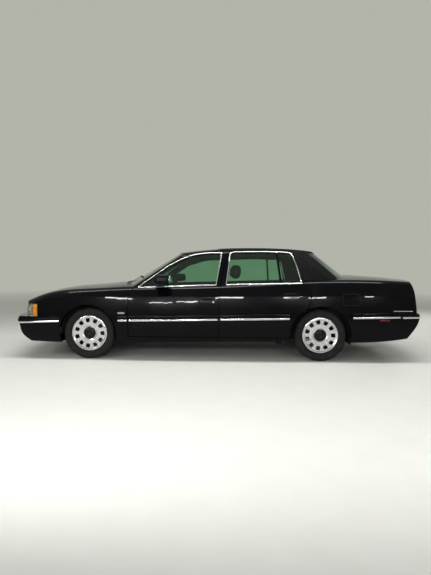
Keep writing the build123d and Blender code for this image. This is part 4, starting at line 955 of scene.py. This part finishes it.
FLUTE_FOOT_Z, FLUTE_LENGTH, FLUTE_STEPS = 0.55, 0.13, 8
FLUTE_HEIGHTS = [FLUTE_FOOT_Z + FLUTE_LENGTH * i / FLUTE_STEPS for i in range(FLUTE_STEPS + 1)]
FLUTE_PITCH, FRONT_FLUTES, CORNER_FLUTES = 0.017, 15, 5
FRONT_FLUTE_Y, CORNER_FLUTE_X = -0.46, -2.38
lines = []
for i in range(FRONT_FLUTES):
    y = FRONT_FLUTE_Y - FLUTE_PITCH * i
    lines.append([from_front(lens_tree, y, z) for z in FLUTE_HEIGHTS])
for i in range(CORNER_FLUTES):
    lines.append([from_left(lens_tree, CORNER_FLUTE_X + FLUTE_PITCH * i, z) for z in FLUTE_HEIGHTS])
flutes = [strip("flute", met(line), 0.009, 0.0016, lamp_lens, sink=0.0005) for line in lines]
on_both_sides(joined("lens_flutes_left", flutes), "root")
print("flutes each side:", len(FLUTE_HEIGHTS), "points by", len(flutes))

# %% [markdown]
# At the tail, the lamps have moulded ribs across them, and a slim bright moulding runs along
# the lower edge of the boot lid and opens with it. A ray cast forwards from behind finds the
# skin at each point, as the rays from the side did on the flanks.

# %% Tail lamps and boot moulding
def steady(path, jump=0.03):
    """The path without its far jumps: a point past a gap may lie on another part of the mesh."""
    kept = path[:1]
    for hit in path[1:]:
        if (hit[0] - kept[-1][0]).length < jump:
            kept.append(hit)
    return kept


tail_tree = skin("tail_lamps")
RIB_COUNT, RIB_FOOT_Z, RIB_PITCH = 10, 0.672, 0.026
RIB_INNER_Y, RIB_STEP, RIB_POINTS, FEWEST_POINTS = -0.742, 0.0065, 30, 5
ribs = []
for i in range(RIB_COUNT):
    z = RIB_FOOT_Z + RIB_PITCH * i
    hits = [from_behind(tail_tree, RIB_INNER_Y - RIB_STEP * k, z) for k in range(RIB_POINTS)]
    path = steady(met(hits))
    if len(path) >= FEWEST_POINTS:
        ribs.append(strip("rib", path, 0.014, 0.003, red_lens, 0.9, sink=0.001))
on_both_sides(joined("tail_lamp_ribs_left", ribs), "root")
lid_tree = skin("boot_lid")
LID_LINE_Z, LID_LINE_HALF, HALF_STEPS = 0.712, 0.67, 40
ys = [LID_LINE_HALF * (i / HALF_STEPS - 1) for i in range(2 * HALF_STEPS + 1)]
hits = [from_behind(lid_tree, y, LID_LINE_Z) for y in ys]
moulding = strip("boot_moulding", met(hits), 0.016, 0.005, chrome, 0.8)
settle(moulding, "boot_lid")
print("tail lamp ribs:", len(ribs))

# %% [markdown]
# Behind each rear wheel a splash guard hangs across the car and closes the wheelhouse's foot.
# Without it the floor beyond the car shines through between the tyre and the bumper.

# %% Splash guards
GUARD = ((-0.895, 0.214), (-0.61, 0.214), (-0.61, 0.345), (-0.895, 0.345))
GUARD_X, GUARD_DEPTH = 1.663, 0.005


def card(name, corners, y, depth, material, place=Matrix.Identity(4)):
    """A flat panel of (x, z) corners with a bevelled edge, extruded from y inwards."""
    shape = bmesh.new()
    lower = [shape.verts.new((x, y, z)) for x, z in corners]
    face = shape.faces.new(lower)
    pushed = bmesh.ops.extrude_face_region(shape, geom=[face])
    top = [v for v in pushed["geom"] if isinstance(v, bmesh.types.BMVert)]
    bmesh.ops.translate(shape, verts=top, vec=(0, depth, 0))
    bmesh.ops.bevel(
        shape, geom=[e for e in shape.edges if all(v in top for v in e.verts)], offset=depth * 0.6,
        segments=3, profile=0.5, affect="EDGES",
    )
    shape.transform(place)
    bmesh.ops.recalc_face_normals(shape, faces=shape.faces)
    return from_shape(name, shape, material, 40)


across = Matrix.Translation((GUARD_X, 0, 0)) @ AXIS_ALONG_CAR
guard = card("splash_guard_left", GUARD, 0.0, GUARD_DEPTH, rubber, across)
on_both_sides(guard, "root")
print("guard hangs to", GUARD[0][1], "above the ground")

# %% [markdown]
# Inside, the ceiling is a cloth headliner that rolls down over the tops of the doors, and the
# pillars wear padded covers. They matter from outside too: through the near windows they are
# the dark frame round the far ones. The headliner is a sheet of points, each found by a ray
# from the cabin up to the steel, so that it follows the roof at an even distance.

# %% Headliner and pillar covers
lining = finish("headliner_cloth", (0.03, 0.03, 0.032), 0.9, Sheen_Weight=0.1)
mottle(lining, "Base Color", 400, 3, (0.022, 0.022, 0.024), (0.04, 0.04, 0.042))
relief(lining, cells_of(lining, 500), 0.3, 0.0004)
ROOF_STEEL = skin("roof_panel", "padded_roof", "body_sides")
LINER_X = (-0.3, 1.03)
LINER_HALF_WIDTH, LINER_ROLL = 0.56, 0.038
LINER_GAP, LINER_DROP = 0.012, 0.075


def under_steel(x, y):
    hit = meet(ROOF_STEEL, (x, y, 1.1), (0, 0, 1))
    return hit[0].z - LINER_GAP


corners = []
STATIONS, ACROSS, ROLL_STEPS = 28, 25, 6
row = ACROSS + 2 * ROLL_STEPS
for i in range(STATIONS):
    x = LINER_X[0] + (LINER_X[1] - LINER_X[0]) * i / (STATIONS - 1)
    edge_z = under_steel(x, LINER_HALF_WIDTH)
    for k in range(row):
        j = k - ROLL_STEPS
        if 0 <= j < ACROSS:
            y = LINER_HALF_WIDTH * (2 * j / (ACROSS - 1) - 1)
            corners.append((x, y, under_steel(x, y)))
            continue
        turn = (-j if j < 0 else j - ACROSS + 1) / ROLL_STEPS * math.pi / 2
        out = LINER_HALF_WIDTH + LINER_ROLL * math.sin(turn)
        corners.append((x, math.copysign(out, j), edge_z - LINER_DROP * (1 - math.cos(turn))))
headliner = new_piece("headliner", corners, grid_faces(STATIONS, row), lining)
shaped_by(headliner, "SOLIDIFY", thickness=0.004)
settle(headliner, "root")
print("headliner edge", [round(v, 3) for v in min(corners)])
PILLAR_COVERS = {
    "front": (
        ((-0.9, -0.735, 0.965), (-0.67, -0.69, 1.12), (-0.5, -0.648, 1.23), (-0.27, -0.603, 1.3)), 0.08,
    ),
    "middle": (((0.075, -0.83, 0.62), (0.095, -0.735, 0.96), (0.135, -0.6, 1.3)), 0.09),
}
COVER_THICK, COVER_STEPS = 0.012, 8
inwards = Vector((0, 1, 0.25)).normalized()
for word, (line, width) in PILLAR_COVERS.items():
    points = [Vector(corner) for corner in line]
    finer = [a.lerp(b, i / COVER_STEPS) for a, b in zip(points, points[1:]) for i in range(COVER_STEPS)]
    path = [(point, inwards) for point in finer + points[-1:]]
    cover = strip(f"pillar_cover_{word}_left", path, width, COVER_THICK, lining, 0.5, sink=0.003)
    on_both_sides(cover, "root")

# %% [markdown]
# With the doors open, their inner faces show. Each gets a trim card of grained plastic with an
# armrest, set in from the door's edge so that it clears the body.

# %% Door cards
CARD_Y, CARD_DEPTH, REST_DEPTH, REST_HALF = -0.8498, 0.006, 0.014, 0.02
CARDS = (
    ("front", ((-0.99, 0.34), (-0.06, 0.34), (-0.06, 0.86), (-0.99, 0.84)), (-0.72, -0.2, 0.63)),
    (
        "rear", ((0.17, 0.34), (0.84, 0.34), (0.9, 0.6), (1.06, 0.74), (1.06, 0.88), (0.17, 0.87)),
        (0.3, 0.8, 0.64),
    ),
)
for word, corners, (x0, x1, z) in CARDS:
    panel = card(f"door_card_{word}_left", corners, CARD_Y, CARD_DEPTH, dark_plastic)
    on_both_sides(panel, f"door_{word}_SIDE")
    low_z, high_z = z - REST_HALF, z + REST_HALF
    corners = ((x0, low_z), (x1, low_z), (x1, high_z), (x0, high_z))
    rest = card(f"armrest_{word}_left", corners, CARD_Y + CARD_DEPTH, REST_DEPTH, hide)
    on_both_sides(rest, f"door_{word}_SIDE")
print("door cards:", len(CARDS), "each side")

# %% [markdown]
# The stage is a pale floor under an even, pale surround. Far from the car the floor fades into
# the surround's own colour, so that no horizon cuts through the windows. What the camera, the
# glass and the metal see of the surround is paler than the light it gives: Light Path tells
# those rays from the ones that light the car.

# %% Floor and surround
SURROUND = (0.45, 0.46, 0.405, 1)


def seen_rays(tree):
    """1 for rays that show the surround: from the camera, in a reflection or through glass."""
    rays = tree.nodes.new("ShaderNodeLightPath")
    found = rays.outputs["Is Camera Ray"]
    for name in ("Is Glossy Ray", "Is Transmission Ray"):
        either = tree.nodes.new("ShaderNodeMath")
        either.operation = "MAXIMUM"
        tree.links.new(found, either.inputs[0])
        tree.links.new(rays.outputs[name], either.inputs[1])
        found = either.outputs[0]
    return found


def mixed(tree, factor, first, second, output):
    mix = tree.nodes.new("ShaderNodeMixShader")
    tree.links.new(factor, mix.inputs[0])
    tree.links.new(first, mix.inputs[1])
    tree.links.new(second, mix.inputs[2])
    tree.links.new(mix.outputs[0], output.inputs["Surface"])


world = bpy.data.worlds.new("studio")
bpy.context.scene.world = world
world.use_nodes = True
tree = world.node_tree
background = tree.nodes["Background"]
background.inputs["Color"].default_value = (0.62, 0.63, 0.6, 1)
background.inputs["Strength"].default_value = 0.55
seen = tree.nodes.new("ShaderNodeBackground")
seen.inputs["Color"].default_value = SURROUND
seen.inputs["Strength"].default_value = 1.0
mixed(tree, seen_rays(tree), background.outputs[0], seen.outputs[0], tree.nodes["World Output"])

FLOOR, FADE_FROM, FADE_TO = 60.0, 6.0, 20.0
floor_mesh = bpy.data.meshes.new("studio_floor")
floor_corners = [(x * FLOOR, y * FLOOR, 0) for x, y in ((-1, -1), (1, -1), (1, 1), (-1, 1))]
floor_mesh.from_pydata(floor_corners, [], [(0, 1, 2, 3)])
floor = placed("studio_floor", floor_mesh)
floor_finish = finish("pale_floor", (0.5, 0.5, 0.47), 0.7)
mottle(floor_finish, "Base Color", 5, 6, (0.49, 0.49, 0.46), (0.51, 0.51, 0.48))
tree = floor_finish.node_tree
glow = tree.nodes.new("ShaderNodeEmission")
glow.inputs["Color"].default_value = SURROUND
distance = tree.nodes.new("ShaderNodeVectorMath")
distance.operation = "LENGTH"
link(floor_finish, place_of(floor_finish), distance.inputs[0])
faded = share_between(floor_finish, distance.outputs["Value"], FADE_FROM, FADE_TO)
fade = tree.nodes.new("ShaderNodeMath")
fade.operation = "MULTIPLY"
tree.links.new(faded, fade.inputs[0])
tree.links.new(seen_rays(tree), fade.inputs[1])
body_shader = tree.nodes["Principled BSDF"].outputs[0]
mixed(tree, fade.outputs[0], body_shader, glow.outputs[0], tree.nodes["Material Output"])
floor_mesh.materials.append(floor_finish)

# %% [markdown]
# The lamps are plain and soft, as in a studio. Black paint shows only what it mirrors, so a row
# of thin tubes stands off the camera's side of the car. Each becomes one of the short bright
# streaks that the photograph has along the shoulder. A tube's height comes from the law of
# mirrors: the panel there leans back by so many degrees, and the ray turns by twice that. No
# lamp shows to the camera itself.

# %% Lamps
def lamp(name, centre, target, size, watts, mirrored=True):
    light = bpy.data.lights.new(name, "AREA")
    light.shape = "RECTANGLE"
    light.size, light.size_y = size
    light.energy = watts
    piece = placed(name, light)
    piece.location = centre
    piece.rotation_euler = (Vector(target) - Vector(centre)).to_track_quat("-Z", "Y").to_euler()
    piece.visible_camera = False
    piece.visible_transmission = False
    piece.visible_glossy = mirrored


lamp("overhead", (0, -1.2, 5.2), (0, 0, 0.5), (8.0, 0.8), 380)
lamp("left_front", (-5.5, -5.5, 3.6), (-0.8, 0, 0.6), (1.4, 2.4), 150)
lamp("right_rear", (6.0, 4.5, 4.0), (0.5, 0, 0.7), (2.0, 2.0), 190, mirrored=False)
EYE_X, EYE_Y, EYE_Z = 0.141, -6.03, 1.111
PANEL_Y, TUBE_Y = -0.96, -4.4
STREAKS = (
    (-1.27, 0.772, 5.8, 0.36), (-0.7, 0.722, 5.1, 0.3), (-0.36, 0.74, 5.2, 0.26),
    (0.17, 0.783, 5.9, 0.34), (0.93, 0.802, 6.4, 0.3), (1.29, 0.79, 6.2, 0.24), (2.1, 0.8, 6.6, 0.14),
)
TUBE_WIDTH, TUBE_POWER = 0.045, 26.0
for number, (x, z, lean, length) in enumerate(STREAKS):
    to_eye = math.atan2(EYE_Z - z, PANEL_Y - EYE_Y)
    rise = math.tan(2 * math.radians(lean) - to_eye) * (PANEL_Y - TUBE_Y)
    spread = 1 + (PANEL_Y - TUBE_Y) / (PANEL_Y - EYE_Y)
    place = (EYE_X + (x - EYE_X) * spread, TUBE_Y, z + rise)
    tube_length = length * spread
    size = (tube_length, TUBE_WIDTH)
    lamp(f"tube_{number}", place, (x, PANEL_Y, z), size, TUBE_POWER * tube_length)
print("lamps:", len(bpy.data.lights))

# %% [markdown]
# The camera stands where the photograph was taken: six metres from the car's left side at
# standing height, turned slightly towards the nose and tipped slightly down.

# %% Camera
YAW, PITCH, ROLL = math.radians(1.638), math.radians(2.222), math.radians(0.371)
SENSOR, FOCAL_PIXELS, PICTURE_HEIGHT = 36.0, 415, 575
forward = Vector((-math.sin(YAW) * math.cos(PITCH), math.cos(YAW) * math.cos(PITCH), -math.sin(PITCH)))
right = Vector((math.cos(YAW), math.sin(YAW), 0))
up = right.cross(forward)
turned_right = right * math.cos(ROLL) + up * math.sin(ROLL)
turned_up = up * math.cos(ROLL) - right * math.sin(ROLL)
camera = bpy.data.cameras.new("camera")
camera.sensor_width, camera.lens = SENSOR, SENSOR * FOCAL_PIXELS / PICTURE_HEIGHT
viewer = placed("camera", camera)
axes = Matrix((turned_right, turned_up, -forward)).transposed()
viewer.matrix_world = Matrix.Translation((EYE_X, EYE_Y, EYE_Z)) @ axes.to_4x4()
bpy.context.scene.camera = viewer
bpy.context.scene.view_settings.view_transform = "Standard"
print("camera lens", round(camera.lens, 2), "mm")
